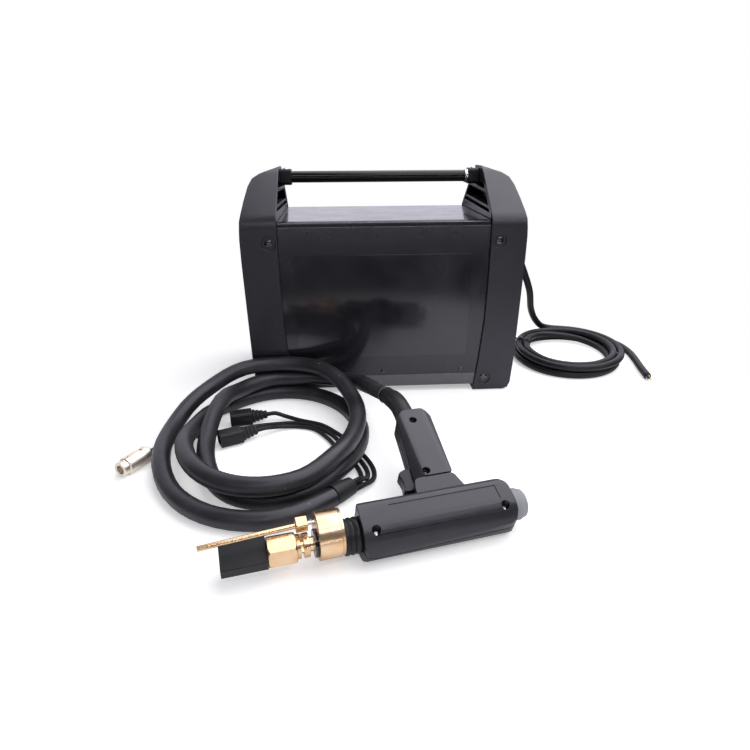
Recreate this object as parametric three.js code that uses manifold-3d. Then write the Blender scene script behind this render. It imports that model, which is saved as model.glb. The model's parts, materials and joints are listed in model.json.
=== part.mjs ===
// Dent pulling spot welder: a power unit with a carrying handle, and the pull gun that is
// tethered to it by a thick cable which lies in loose loops on the bench.
// Millimetres, +Z up. The power unit's long axis runs along X with its controls at -X,
// its viewed side faces -Y, and everything stands on z = 0.
import * as THREE from "three";
import { mergeVertices } from "three/addons/utils/BufferGeometryUtils.js";
import Module from "manifold-3d";

const wasm = await Module();
wasm.setup();

// Clearances and overruns shared by all pieces
const fit = 0.3;
const overrun = 4;
const quarter = Math.PI / 2;
const turn = Math.PI * 2;
const weld = 1e-4;

// Power unit, driving sizes
const unit_length = 450;
const unit_width = 240;
const shoulder_height = 290;
const ear_rise = 74;
const ear_height = shoulder_height + ear_rise;
const ear_top_width = 56;
const cap_length = 58;
const cap_wall = 4;
const end_wall = 7;
const corner_radius = 14;
const foot_arch_run = 8;
const foot_arch_rise = 6;
const foot_length = 48;
const foot_flare = 14;
const flare_height = 120;
const end_taper = 8;
const edge_break = 1;
const sheet = 1.6;
const cover_drop = 2.4;
const cover_top = shoulder_height - cover_drop;
const cover_lap = 22;
const cover_bend = 9;
const seam_height = 31;
const base_floor = 10;
const base_lip = 14;

// Handle
const handle_diameter = 18.5;
const handle_drop = 17;
const handle_axis_height = ear_height - handle_drop;
const collar_length = 18;
const collar_size = 25;
const handle_bore = 12;

// Controls on the front end
const panel_thickness = 2.5;
const window_margin = 30;
const window_low = 44;
const window_drop = 22;
const window_high = shoulder_height - window_drop;
const window_radius = 12;
const knob_diameter = 28;
const knob_length = 22;
const knob_drop = 33;
const knob_height = window_high - knob_drop;
const knob_spacing = 60;
const knob_shaft = 6;
const display_width = 74;
const display_height = 28;
const display_gap = 23;
const display_centre = knob_height - knob_diameter / 2 - display_gap - display_height / 2;
const button_diameter = 12;
const button_travel = 1.5;
const button_gap = 14;
const button_centre = display_centre - display_height / 2 - button_gap - button_diameter / 2;
const socket_diameter = 36;
const socket_bore = 13;
const socket_length = 30;
const socket_rise = 22;
const socket_height = window_low + socket_rise + socket_diameter / 2;
const socket_inset = 24;

// Rear end
const fan_size = 120;
const fan_depth = 25;
const fan_rise = 8;
const fan_height = window_low + fan_rise + fan_size / 2;
const fan_blades = 7;
const fan_hub = 40;
const switch_width = 22;
const switch_tall = 30;
const switch_drop = 54;
const switch_height = window_high - switch_drop;
const switch_inset = 32;
const switch_side = window_margin + switch_inset;
const gland_diameter = 24;
const gland_length = 26;
const gland_drop = 63;
const gland_height = window_high - gland_drop;
const gland_inset = 26;
const gland_side = unit_width - window_margin - gland_inset;

// Screws
const screw_head = 13;
const screw_shank = 5;
const screw_length = 14;
const screw_recess = 22;

// Pull gun, driving sizes, in the gun's own axes: its barrel runs along X with the
// tip at -X, the grip points to +Y, and the side that faces up is +Z
const gun_x = 25;
const gun_y = -395;
const gun_yaw = THREE.MathUtils.degToRad(13.4);
const gun_tilt = THREE.MathUtils.degToRad(21);
const body_length = 171;
const body_fore = 87;
const body_thickness = 50;
const body_upper = 27;
const body_lower = 30.5;
const body_nose_upper = 24;
const body_tail_lower = 27;
const grip_reach = 147;
const grip_fore = 12;
const grip_width = 48;
const grip_depth = 34;
const stub_reach = 46;
const shell_wall = 3;
const neck_diameter = 38;
const neck_length = 18;
const sleeve_diameter = 25;
const ring_diameter = 50;
const ring_length = 26;
const ring_throw = 8;
const retainer_length = 3;
const nut_across = 29;
const nut_length = 28.4;
const nut_twist = -24;
const collet_diameter = 25;
const collet_length = 13;
const nose_gap = 5;
const spindle_diameter = 15;
const block_length = 45.6;
const block_width = 30;
const block_height = 14;
const rod_diameter = 5.5;
const rod_length = 103;
const rod_side = 11;
const rod_rise = 21.5;
const clamp_size = 12;
const pin_diameter = 4;
const rear_cap_diameter = 36;
const rear_cap_length = 19;
const trigger_length = 30;
const trigger_width = 15;
const trigger_travel = 6;
const boot_diameter = 25;
const boot_end_diameter = 21;

// Cords
const cable_diameter = 24;
const cable_end_diameter = 20.5;
const lead_diameter = 6.5;
const mains_diameter = 13;
const plug_width = 24;
const plug_height = 21;
const plug_length = 56;
const brass_diameter = 24;
const brass_length = 50;

// Points of a rectangle with rounded corners, as a shape
function rounded(width, height, radius) {
  const w = width / 2;
  const h = height / 2;
  const shape = new THREE.Shape();
  shape.moveTo(-w + radius, -h);
  shape.lineTo(w - radius, -h);
  shape.absarc(w - radius, -h + radius, radius, -quarter, 0);
  shape.absarc(w - radius, h - radius, radius, 0, quarter);
  shape.absarc(-w + radius, h - radius, radius, quarter, Math.PI);
  shape.absarc(-w + radius, -h + radius, radius, Math.PI, Math.PI + quarter);
  return shape;
}

// Shape through corner points, each corner softened by its own radius
function softened(points, radius) {
  const shape = new THREE.Shape();
  points.forEach((point, i) => {
    const before = points[(i + points.length - 1) % points.length];
    const after = points[(i + 1) % points.length];
    const corner = new THREE.Vector2(...point);
    const r = point.length > 2 ? point[2] : radius;
    const towards = (q) => {
      const way = new THREE.Vector2(q[0], q[1]).sub(corner);
      return corner.clone().addScaledVector(way.clone().normalize(), Math.min(r, way.length() / 2));
    };
    corner.set(point[0], point[1]);
    const from = towards(before);
    const to = towards(after);
    if (i === 0) shape.moveTo(from.x, from.y);
    else shape.lineTo(from.x, from.y);
    if (r > 0) shape.quadraticCurveTo(corner.x, corner.y, to.x, to.y);
  });
  return shape;
}

// Solids: each helper gives a manifold, placed where it belongs
function solid(geometry) {
  const bare = geometry.index ? geometry.toNonIndexed() : geometry.clone();
  bare.deleteAttribute("normal");
  bare.deleteAttribute("uv");
  const merged = mergeVertices(bare, weld);
  return new wasm.Manifold(
    new wasm.Mesh({
      numProp: 3,
      vertProperties: merged.attributes.position.array,
      triVerts: new Uint32Array(merged.index.array),
    }),
  );
}

function shell(manifold) {
  const mesh = manifold.getMesh();
  const places = new Float32Array(mesh.numVert * 3);
  for (let i = 0; i < mesh.numVert; i++)
    places.set(mesh.vertProperties.subarray(i * mesh.numProp, i * mesh.numProp + 3), i * 3);
  return new THREE.BufferGeometry()
    .setAttribute("position", new THREE.BufferAttribute(places, 3))
    .setIndex(new THREE.BufferAttribute(new Uint32Array(mesh.triVerts), 1));
}

function brick(x0, x1, y0, y1, z0, z1) {
  const box = new THREE.BoxGeometry(x1 - x0, y1 - y0, z1 - z0);
  return solid(box.translate((x0 + x1) / 2, (y0 + y1) / 2, (z0 + z1) / 2));
}

// Round bar from one x to another (axis "x"), or the same along y or z
function bar(axis, radius, from, to, a, b, sides = 20) {
  const round = new THREE.CylinderGeometry(radius, radius, to - from, sides);
  const middle = (from + to) / 2;
  if (axis === "x") return solid(round.rotateZ(-quarter).translate(middle, a, b));
  if (axis === "y") return solid(round.translate(a, middle, b));
  return solid(round.rotateX(quarter).translate(a, b, middle));
}

// Outline in (y, z) drawn out along x, or in (x, z) drawn out along y
function drawnX(shape, from, to, curveSegments = 2) {
  const depth = to - from;
  const body = new THREE.ExtrudeGeometry(shape, { depth, bevelEnabled: false, curveSegments });
  body.applyMatrix4(new THREE.Matrix4().makeBasis(
    new THREE.Vector3(0, 1, 0), new THREE.Vector3(0, 0, 1), new THREE.Vector3(1, 0, 0)));
  return solid(body.translate(from, 0, 0));
}

function drawnY(shape, from, to, curveSegments = 2) {
  const depth = to - from;
  const body = new THREE.ExtrudeGeometry(shape, { depth, bevelEnabled: false, curveSegments });
  body.rotateX(quarter);
  return solid(body.translate(0, to, 0));
}

function drawnZ(shape, from, to, curveSegments = 2) {
  const depth = to - from;
  const body = new THREE.ExtrudeGeometry(shape, { depth, bevelEnabled: false, curveSegments });
  return solid(body.translate(0, 0, from));
}

// Turned piece: a profile of (radius, height) pairs that starts and ends on the axis
function turned(axis, profile, sides = 20) {
  const points = profile.map(([r, h]) => new THREE.Vector2(r, h));
  const body = new THREE.LatheGeometry(points, sides);
  if (axis === "x") body.rotateZ(-quarter);
  if (axis === "z") body.rotateX(quarter);
  return solid(body);
}

function cut(body, ...tools) {
  return tools.reduce((rest, tool) => rest.subtract(tool), body);
}

function join(...pieces) {
  return pieces.reduce((whole, piece) => whole.add(piece));
}

// Finishes
const finishes = {
  cap_plastic: [0x26262a, 0.55, 0],
  cover_paint: [0x1c1d21, 0.18, 0.1],
  base_paint: [0x2a2b2f, 0.45, 0.1],
  panel_plastic: [0x1a1a1c, 0.5, 0],
  handle_paint: [0x0c0c0e, 0.2, 0.1],
  knob_plastic: [0x141416, 0.45, 0],
  display_tint: [0x220608, 0.1, 0],
  brass: [0xd9a45b, 0.3, 1],
  steel: [0xb9bbbd, 0.3, 1],
  dark_steel: [0x2b2b2d, 0.35, 0.8],
  core_steel: [0x55575a, 0.5, 0.8],
  copper: [0xb4683a, 0.4, 1],
  board_green: [0x1d5a36, 0.5, 0],
  aluminium: [0xa9adb1, 0.4, 0.9],
  capacitor_sleeve: [0x1f2c4c, 0.4, 0],
  gun_plastic: [0x2b2c2f, 0.5, 0],
  trigger_plastic: [0x1a1b1d, 0.45, 0],
  grey_cap: [0x6c6d72, 0.5, 0],
  rubber: [0x242426, 0.7, 0],
  cord_rubber: [0x1d1d1f, 0.65, 0],
  silver_plug: [0xb9a98a, 0.4, 0.8],
  tie_nylon: [0x101012, 0.5, 0],
};
const unit = new THREE.Group();
const gun = new THREE.Group();
const cords = new THREE.Group();
const whole = new THREE.Group();
whole.add(unit, gun, cords);

function place(name, geometry, finish, group) {
  const [color, roughness, metalness] = finishes[finish];
  const made = geometry.isBufferGeometry ? geometry : shell(geometry);
  const material = new THREE.MeshStandardMaterial({ color, roughness, metalness });
  const mesh = new THREE.Mesh(made, material);
  mesh.name = name;
  group.add(mesh);
  return mesh;
}

// Power unit: places that several pieces share
const mid_y = unit_width / 2;
const half_length = unit_length / 2;
const inner_x = half_length - cap_length;
const cover_half = inner_x + cover_lap;
const cavity_end = half_length - end_taper - end_wall;
const panel_face = cavity_end - fit - panel_thickness;
const cover_side = cap_wall + fit;
const top_near = mid_y - ear_top_width / 2;
const top_far = mid_y + ear_top_width / 2;
const upper_screw_inset = 44;
const upper_screw_drop = 34;
const lower_screw_inset = 54;
const lower_screw_height = 23;
const upper_screw = [half_length - upper_screw_inset, shoulder_height - upper_screw_drop];
const lower_screw = [half_length - lower_screw_inset, lower_screw_height];
const screw_bore = screw_shank / 2 + fit;

// End cap, drawn for the +X end: an octagonal moulding whose ear holds the handle
function capBody() {
  const foot_corner = 3;
  const arch_corner = 2;
  const end_outline = softened([
    [0, 0, foot_corner], [foot_length, 0, arch_corner],
    [foot_length + foot_arch_run, foot_arch_rise, arch_corner],
    [unit_width - foot_length - foot_arch_run, foot_arch_rise, arch_corner],
    [unit_width - foot_length, 0, arch_corner], [unit_width, 0, foot_corner],
    [unit_width, shoulder_height, corner_radius], [top_far, ear_height, corner_radius],
    [top_near, ear_height, corner_radius], [0, shoulder_height, corner_radius],
  ]);
  const side_outline = softened([
    [inner_x - foot_flare, 0, 0], [half_length - end_taper, 0, corner_radius],
    [half_length - end_taper / 2, flare_height / 2, corner_radius],
    [half_length, shoulder_height - flare_height / 2, corner_radius],
    [half_length, shoulder_height, corner_radius * 2],
    [half_length - corner_radius, ear_height - corner_radius, corner_radius],
    [inner_x, ear_height, edge_break], [inner_x, flare_height, corner_radius * 5],
  ]);
  const outer = drawnX(end_outline, inner_x - foot_flare - overrun, half_length + overrun)
    .intersect(drawnY(side_outline, -overrun, unit_width + overrun));
  const cavity = brick(inner_x - foot_flare - overrun, cavity_end, cap_wall, unit_width - cap_wall,
    base_floor - fit, cover_top + fit);
  const window = drawnX(rounded(unit_width - 2 * window_margin, window_high - window_low, window_radius),
    cavity_end - overrun, half_length + overrun)
    .translate(0, mid_y, (window_high + window_low) / 2);
  return cut(outer, cavity, window, ...earPockets(), ...capScrewCuts());
}

// The ear's inner face is cored out between nearly level ribs
function earPockets() {
  const pocket_row_shares = [[0.1, 0.17], [0.23, 0.47], [0.55, 0.66]];
  const pocket_depth = 26;
  const pocket_rim = 14;
  const pocket_corner = 2;
  const rib_fall = 3;
  const slope = top_near / ear_rise;
  return pocket_row_shares.map(([low_share, high_share]) => {
    const low = shoulder_height + ear_rise * low_share;
    const high = shoulder_height + ear_rise * high_share;
    const near = (z) => (z - shoulder_height) * slope + pocket_rim;
    const outline = softened([
      [near(low), low - rib_fall / 2], [unit_width - near(low), low + rib_fall],
      [unit_width - near(high), high + rib_fall], [near(high), high - rib_fall / 2],
    ], pocket_corner);
    return drawnX(outline, inner_x - overrun, inner_x + pocket_depth);
  });
}

function capScrewCuts() {
  const recess_depth = cap_wall / 2;
  return [upper_screw, lower_screw].flatMap(([x, z]) => [
    bar("y", screw_recess / 2, -overrun, recess_depth, x, z),
    bar("y", screw_bore, 0, cap_wall + overrun, x, z, 10),
    bar("y", screw_recess / 2, unit_width - recess_depth, unit_width + overrun, x, z),
    bar("y", screw_bore, unit_width - cap_wall - overrun, unit_width, x, z, 10),
  ]);
}

const rear_cap = capBody();
const turned_round = (body) => body.rotate([0, 0, 180]).translate(0, unit_width, 0);
place("rear_cap", rear_cap, "cap_plastic", unit);
place("front_cap", turned_round(rear_cap), "cap_plastic", unit);

// Bent sheet: the cover is an arch of three sides, the base is a tray under it
function screwHoles(z, xs) {
  return xs.flatMap((x) => [
    bar("y", screw_bore, -overrun, cover_side + base_lip, x, z, 10),
    bar("y", screw_bore, unit_width - cover_side - base_lip, unit_width + overrun, x, z, 10),
  ]);
}

function bentSheet(width, low, high, bend) {
  return softened([
    [mid_y - width / 2, low, 0], [mid_y + width / 2, low, 0],
    [mid_y + width / 2, high, bend], [mid_y - width / 2, high, bend],
  ]);
}

const cover_width = unit_width - 2 * cover_side;
const cover_screw_pitch = 134;
const cover_screw_shift = 3;
const cover_screws = [-1, 0, 1].map((step) => step * cover_screw_pitch - cover_screw_shift);
const cover_screw_height = seam_height + base_lip / 2;
const case_cover = cut(
  drawnX(bentSheet(cover_width, seam_height + fit, cover_top, cover_bend), -cover_half, cover_half),
  drawnX(bentSheet(cover_width - 2 * sheet, 0, cover_top - sheet, cover_bend - sheet),
    -cover_half - overrun, cover_half + overrun),
  ...screwHoles(upper_screw[1], [upper_screw[0], -upper_screw[0]]),
  ...screwHoles(cover_screw_height, cover_screws),
);
place("case_cover", case_cover, "cover_paint", unit);

const tray_width = cover_width;
const lip_width = cover_width - 2 * sheet - 2 * fit;
const base_pan = join(
  cut(
    brick(-cover_half, cover_half, mid_y - tray_width / 2, mid_y + tray_width / 2, base_floor, seam_height),
    brick(-cover_half - overrun, cover_half + overrun, mid_y - lip_width / 2 + sheet,
      mid_y + lip_width / 2 - sheet, base_floor + sheet, seam_height + overrun),
  ),
  ...[-1, 1].map((side) => {
    const outer = mid_y + side * lip_width / 2;
    const inner = outer - side * sheet;
    return brick(-inner_x, inner_x, Math.min(outer, inner), Math.max(outer, inner),
      base_floor + sheet, seam_height + base_lip);
  }),
);
place("base_pan", cut(base_pan, ...screwHoles(lower_screw[1], [lower_screw[0], -lower_screw[0]]),
  ...screwHoles(cover_screw_height, cover_screws)), "base_paint", unit);

// Cap screws on the viewed side: pan heads that sit in the moulded recesses
const screw_seat = cap_wall / 2 - fit;
const cap_screw = turned("y", [
  [0, screw_length], [screw_shank / 2, screw_length], [screw_shank / 2, 0], [screw_head / 2, 0],
  [screw_head / 2, -screw_head / 16], [screw_head / 4, -screw_head / 6], [0, -screw_head / 6],
].reverse(), 14);
[upper_screw, lower_screw].forEach(([x, z], row) => [-x, x].forEach((across, column) => {
  place("cap_screw_" + (2 * row + column + 1), cap_screw.translate(across, screw_seat, z), "dark_steel", unit);
}));

// Handle: a tube between the ears, with a moulded collar on each end
const handle_radius = handle_diameter / 2;
const handle_end = inner_x - fit;
const handle_bar = cut(
  bar("x", handle_radius, -handle_end, handle_end, mid_y, handle_axis_height, 20),
  bar("x", handle_bore / 2, -handle_end - overrun, handle_end + overrun, mid_y, handle_axis_height, 12),
);
place("handle_bar", handle_bar, "handle_paint", unit);
const collar_start = handle_end - collar_length;
const collar = cut(
  drawnX(rounded(collar_size, collar_size, collar_size / 5), collar_start, handle_end)
    .translate(0, mid_y, handle_axis_height),
  bar("x", handle_radius + fit, collar_start - overrun, handle_end + overrun, mid_y, handle_axis_height, 20),
);
place("handle_collar_rear", collar, "cap_plastic", unit);
place("handle_collar_front", turned_round(collar), "cap_plastic", unit);

// Front panel behind its window, with all that it carries
const panel_low = base_floor;
const panel_high = cover_top;
function panelSheet(x0, x1) {
  return brick(x0, x1, cap_wall + fit, unit_width - cap_wall - fit, panel_low, panel_high);
}
const knob_sides = [mid_y - knob_spacing / 2, mid_y + knob_spacing / 2];
const socket_step = 3;
const socket_neck = socket_diameter / 2 - socket_step;
const socket_edge = window_margin + socket_inset + socket_diameter / 2;
const socket_sides = [socket_edge, unit_width - socket_edge];
const front_face = -panel_face - panel_thickness;
const front_back = -panel_face;
const front_panel = cut(
  panelSheet(front_face, front_back),
  ...knob_sides.map((y) => bar("x", knob_shaft / 2 + 2 * fit, front_face - overrun, front_back + overrun,
    y, knob_height, 20)),
  brick(front_face - overrun, front_back + overrun, mid_y - display_width / 2, mid_y + display_width / 2,
    display_centre - display_height / 2, display_centre + display_height / 2),
  bar("x", button_diameter / 2 + fit, front_face - overrun, front_back + overrun, mid_y, button_centre, 24),
  ...socket_sides.map((y) => bar("x", socket_neck + fit, front_face - overrun,
    front_back + overrun, y, socket_height, 20)),
);
place("front_panel", front_panel, "panel_plastic", unit);

const knob_gap = 2;
const pointer_depth = 1;
const knob_face = front_face - knob_gap;
const knob_grip = knob_diameter / 2;
function knobAt(y) {
  const flute_count = 12;
  const flute = knob_diameter / 16;
  const flutes = Array.from({ length: flute_count }, (_, i) => {
    const angle = (i / flute_count) * turn;
    return bar("x", flute, knob_face - knob_length - overrun, knob_face - knob_length / 4,
      y + knob_grip * Math.cos(angle), knob_height + knob_grip * Math.sin(angle), 8);
  });
  const skirt = bar("x", knob_grip, knob_face - knob_length, knob_face, y, knob_height, 24);
  const pointer = brick(knob_face - knob_length - overrun, knob_face - knob_length + pointer_depth,
    y - flute / 2, y + flute / 2, knob_height + knob_grip / 3, knob_height + knob_grip - pointer_depth);
  const shaft_hole = bar("x", knob_shaft / 2 + fit, knob_face - knob_length * 0.7, knob_face + overrun,
    y, knob_height, 20);
  return cut(skirt, ...flutes, pointer, shaft_hole);
}
place("current_knob", knobAt(knob_sides[0]), "knob_plastic", unit);
place("time_knob", knobAt(knob_sides[1]), "knob_plastic", unit);

const lens_lip = 3;
const display_lens = join(
  brick(front_face, front_back + fit, mid_y - display_width / 2 + fit, mid_y + display_width / 2 - fit,
    display_centre - display_height / 2 + fit, display_centre + display_height / 2 - fit),
  brick(front_back + fit, front_back + fit + sheet, mid_y - display_width / 2 - lens_lip,
    mid_y + display_width / 2 + lens_lip, display_centre - display_height / 2 - lens_lip,
    display_centre + display_height / 2 + lens_lip),
);
place("display_lens", display_lens, "display_tint", unit);

const button_proud = 3;
const button_flange = 2;
const mode_button = join(
  bar("x", button_diameter / 2, front_face - button_proud, front_back + fit, mid_y, button_centre, 24),
  bar("x", button_diameter / 2 + button_flange, front_back + fit, front_back + fit + sheet,
    mid_y, button_centre, 24),
);
place("mode_button", mode_button, "knob_plastic", unit);

// Output sockets: an insulated boss with a bored brass contact
const socket_flange = 6;
function socketAt(y) {
  const front = front_face - fit;
  const tail = front_back + socket_length;
  return cut(
    join(
      bar("x", socket_diameter / 2, front - socket_flange, front, y, socket_height, 20),
      bar("x", socket_neck, front - fit, tail, y, socket_height, 20),
    ),
    bar("x", socket_bore / 2, front - socket_flange - overrun, tail - socket_flange, y, socket_height, 16),
  );
}
place("gun_socket", socketAt(socket_sides[0]), "panel_plastic", unit);
place("earth_socket", socketAt(socket_sides[1]), "panel_plastic", unit);

// Control board on four posts behind the front panel, with the two knob shafts
const board_gap = 16;
const board_face = front_back + board_gap;
const board_over = 27;
const board_under = 18;
const board_inset = 16;
const board_low = button_centre - board_under;
const board_high = knob_height + board_over;
const board_side = mid_y - window_margin - board_inset;
const post = 3;
const pot_size = 11;
const board_corners = [-1, 1].flatMap((side) => [board_low + 2 * post, board_high - 2 * post]
  .map((z) => [mid_y + side * (board_side - 2 * post), z]));
const control_board = join(
  brick(board_face, board_face + sheet, mid_y - board_side, mid_y + board_side, board_low, board_high),
  ...board_corners.map(([y, z]) => bar("x", post, front_back + fit, board_face + fit, y, z, 12)),
  ...knob_sides.flatMap((y) => [
    bar("x", pot_size, front_back + fit + sheet, board_face + fit, y, knob_height, 24),
    bar("x", knob_shaft / 2, knob_face - knob_length * 0.6, board_face, y, knob_height, 20),
  ]),
  bar("x", post, front_back + fit + sheet + button_travel + fit, board_face + fit, mid_y, button_centre, 12),
);
place("control_board", control_board, "board_green", unit);

// Rear panel with its air grille, the fan behind it, the switch and the cord gland
const rear_inner = panel_face;
const rear_outer = panel_face + panel_thickness;
const grille_margin = 5;
const grille_radius = fan_size / 2 - grille_margin;
const grille_slots = 8;
const slot_share = 0.6;
const grille_pitch = 2 * grille_radius / grille_slots;
const grille = Array.from({ length: grille_slots }, (_, i) => {
  const z = fan_height - grille_radius + (i + 0.5) * grille_pitch;
  const half = Math.sqrt(grille_radius ** 2 - (z - fan_height) ** 2);
  return brick(rear_inner - overrun, rear_outer + overrun, mid_y - half, mid_y + half,
    z - grille_pitch * slot_share / 2, z + grille_pitch * slot_share / 2);
});
const gland_step = 3;
const gland_neck = gland_diameter / 2 - gland_step;
const rear_panel = cut(
  panelSheet(rear_inner, rear_outer),
  ...grille,
  brick(rear_inner - overrun, rear_outer + overrun, switch_side - switch_width / 2 - fit,
    switch_side + switch_width / 2 + fit, switch_height - switch_tall / 2 - fit,
    switch_height + switch_tall / 2 + fit),
  bar("x", gland_neck + fit, rear_inner - overrun, rear_outer + overrun, gland_side, gland_height, 24),
);
place("rear_panel", rear_panel, "panel_plastic", unit);

const fan_back = rear_inner - fit;
const fan_front = fan_back - fan_depth;
const fan_rim = 3;
const fan_corner = 6;
const fan_bore = fan_size / 2 - fan_rim;
const hub_radius = fan_hub / 2;
const spoke = 4;
const fan_frame = join(
  cut(
    drawnX(rounded(fan_size, fan_size, fan_corner), fan_front, fan_back).translate(0, mid_y, fan_height),
    bar("x", fan_bore, fan_front - overrun, fan_back + overrun, mid_y, fan_height, 28),
  ),
  bar("x", hub_radius, fan_front, fan_front + spoke, mid_y, fan_height, 24),
  bar("x", hub_radius / 4, fan_front, fan_back - spoke - 4 * fit, mid_y, fan_height, 16),
  brick(fan_front, fan_front + spoke, mid_y - fan_bore - fan_rim / 3, mid_y + fan_bore + fan_rim / 3,
    fan_height - spoke / 2, fan_height + spoke / 2),
  brick(fan_front, fan_front + spoke, mid_y - spoke / 2, mid_y + spoke / 2,
    fan_height - fan_bore - fan_rim / 3, fan_height + fan_bore + fan_rim / 3),
);
place("fan_frame", fan_frame, "panel_plastic", unit);

const rotor_front = fan_front + spoke + 2 * fit;
const rotor_back = fan_back - spoke;
const blade_thickness = 2;
const blade_clearance = 2;
const blade_root = 1;
const blade_twist = 35;
const blades = Array.from({ length: fan_blades }, (_, i) => {
  return brick(-blade_thickness / 2, blade_thickness / 2, -(rotor_back - rotor_front) / 2,
    (rotor_back - rotor_front) / 2, hub_radius - blade_root, fan_bore - blade_clearance)
    .rotate([0, 0, blade_twist - 90])
    .rotate([(i / fan_blades) * 360, 0, 0])
    .translate((rotor_front + rotor_back) / 2, mid_y, fan_height);
});
const rotor_slot = brick(rotor_front, rotor_back, mid_y - fan_bore, mid_y + fan_bore,
  fan_height - fan_bore, fan_height + fan_bore);
const fan_rotor = cut(
  join(bar("x", hub_radius, rotor_front, rotor_back, mid_y, fan_height, 24), ...blades).intersect(rotor_slot),
  bar("x", hub_radius / 4 + fit, fan_front - overrun, fan_back - spoke - 3 * fit, mid_y, fan_height, 16),
);
place("fan_rotor", fan_rotor, "knob_plastic", unit);

// Rocker of the mains switch, seen edge on it is a shallow V
const rocker_x = rear_outer;
const rocker_reach = 5;
const rocker_body = 12;
const rocker_edge = 1.6;
const rocker_relief = 3.2;
const rocker_corner = 1;
const rocker_foot_share = 0.22;
const rocker = drawnY(softened([
  [rocker_x - rocker_body, -switch_tall * rocker_foot_share], [rocker_x, -switch_tall / 2 + rocker_edge],
  [rocker_x + rocker_reach, -switch_tall / 2 + rocker_relief], [rocker_x + rocker_reach * 0.36, 0],
  [rocker_x + rocker_reach * 0.12, switch_tall / 2 - rocker_relief / 2],
  [rocker_x, switch_tall / 2 - rocker_edge], [rocker_x - rocker_body, switch_tall * rocker_foot_share],
], rocker_corner), switch_side - switch_width / 2 + 2 * fit, switch_side + switch_width / 2 - 2 * fit)
  .translate(0, 0, switch_height);
place("power_switch", rocker, "trigger_plastic", unit);

// Ribbed gland that the mains cord leaves through
const gland_flange = 3;
const gland_ribs = 4;
const gland_tail = 8;
const gland_shoulder = 2;
const gland_taper = 0.6;
const gland_groove = 1.6;
const gland_profile = [[0, rear_inner - gland_tail], [gland_neck, rear_inner - gland_tail],
  [gland_neck, rear_outer + fit], [gland_diameter / 2, rear_outer + fit],
  [gland_diameter / 2, rear_outer + gland_flange]];
for (let i = 0; i < gland_ribs; i++) {
  const run = (gland_length - gland_flange) / gland_ribs;
  const start = rear_outer + gland_flange + i * run;
  const radius = gland_diameter / 2 - gland_shoulder - i * gland_taper;
  gland_profile.push([radius, start], [radius, start + run * 0.65],
    [radius - gland_groove, start + run * 0.65], [radius - gland_groove, start + run]);
}
const gland_end = rear_outer + gland_length;
gland_profile.push([0, gland_end]);
const cord_gland = turned("x", gland_profile, 16).translate(0, gland_side, gland_height);
place("cord_gland", cord_gland, "rubber", unit);

// Power parts on the base: transformer, capacitors and a finned heat sink
const inside_floor = base_floor + sheet + fit;
const core_x = 55;
const core_length = 108;
const core_width = 92;
const core_height = 104;
const core_limb = 22;
const core_low = inside_floor;
const core_middle = core_low + core_height / 2;
const winding_gap = core_length / 2 - core_limb;
const core_windows = [-1, 1].map((side) => {
  const near = core_limb / 2;
  const far = winding_gap;
  return brick(core_x + Math.min(side * near, side * far), core_x + Math.max(side * near, side * far),
    mid_y - core_width, mid_y + core_width, core_low + core_limb, core_low + core_height - core_limb);
});
place("transformer_core", cut(brick(core_x - core_length / 2, core_x + core_length / 2,
  mid_y - core_width / 2, mid_y + core_width / 2, core_low, core_low + core_height), ...core_windows),
"core_steel", unit);
const winding_build = winding_gap - core_limb / 2 - 2 * fit;
const winding_high = core_height - 2 * core_limb - 2 * fit;
const winding = cut(
  drawnZ(rounded(core_limb + 2 * fit + 2 * winding_build, core_width + 2 * winding_build, winding_build),
    core_middle - winding_high / 2, core_middle + winding_high / 2),
  brick(-core_limb / 2 - fit, core_limb / 2 + fit, -core_width / 2 - fit, core_width / 2 + fit,
    core_middle - winding_high, core_middle + winding_high),
).translate(core_x, mid_y, 0);
place("transformer_winding", winding, "copper", unit);

const capacitor_diameter = 64;
const capacitor_height = 105;
const capacitor_rim = 2;
const capacitor_pitch = 76;
const capacitor_start = -128;
[0, 1].forEach((i) => place("capacitor_" + (i + 1), turned("z", [
  [0, inside_floor], [capacitor_diameter / 2, inside_floor],
  [capacitor_diameter / 2, inside_floor + capacitor_height - capacitor_rim],
  [capacitor_diameter / 2 - capacitor_rim, inside_floor + capacitor_height],
  [0, inside_floor + capacitor_height],
], 28).translate(capacitor_start + i * capacitor_pitch, mid_y, 0), "capacitor_sleeve", unit));

const sink_start = 122;
const sink_length = 46;
const sink_width = 120;
const sink_height = 70;
const sink_base = 10;
const fin_count = 9;
const fin_pitch = sink_width / fin_count;
const fin_gap_share = 0.6;
const fin_gaps = Array.from({ length: fin_count - 1 }, (_, i) =>
  brick(sink_start - overrun, sink_start + sink_length + overrun,
    mid_y - sink_width / 2 + (i + 1 - fin_gap_share / 2) * fin_pitch,
    mid_y - sink_width / 2 + (i + 1 + fin_gap_share / 2) * fin_pitch,
    inside_floor + sink_base, inside_floor + sink_height + overrun));
place("heat_sink", cut(brick(sink_start, sink_start + sink_length, mid_y - sink_width / 2,
  mid_y + sink_width / 2, inside_floor, inside_floor + sink_height), ...fin_gaps), "aluminium", unit);

// Pull gun: a housing and a grip, each split into two shells on the plane z = 0
const body_front = -body_fore;
const body_rear = body_length - body_fore;
const body_face = body_thickness / 2;
const body_rounding = 5;
const body_bevel = 6;
const face_low = 9.5;
const facet_low = 21.3;

function bodySection(inset) {
  const high = body_face - inset;
  const half = [
    [body_upper - inset, body_face * 0.6], [body_upper - body_bevel - inset * 0.4, high],
    [-face_low - inset * 0.2, high], [-facet_low + inset * 0.7, high * 0.7],
    [-body_lower + inset, high * 0.15],
  ];
  const mirrored = half.map(([y, z]) => [y, -z]).reverse();
  return softened([...half, ...mirrored], body_rounding);
}

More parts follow.
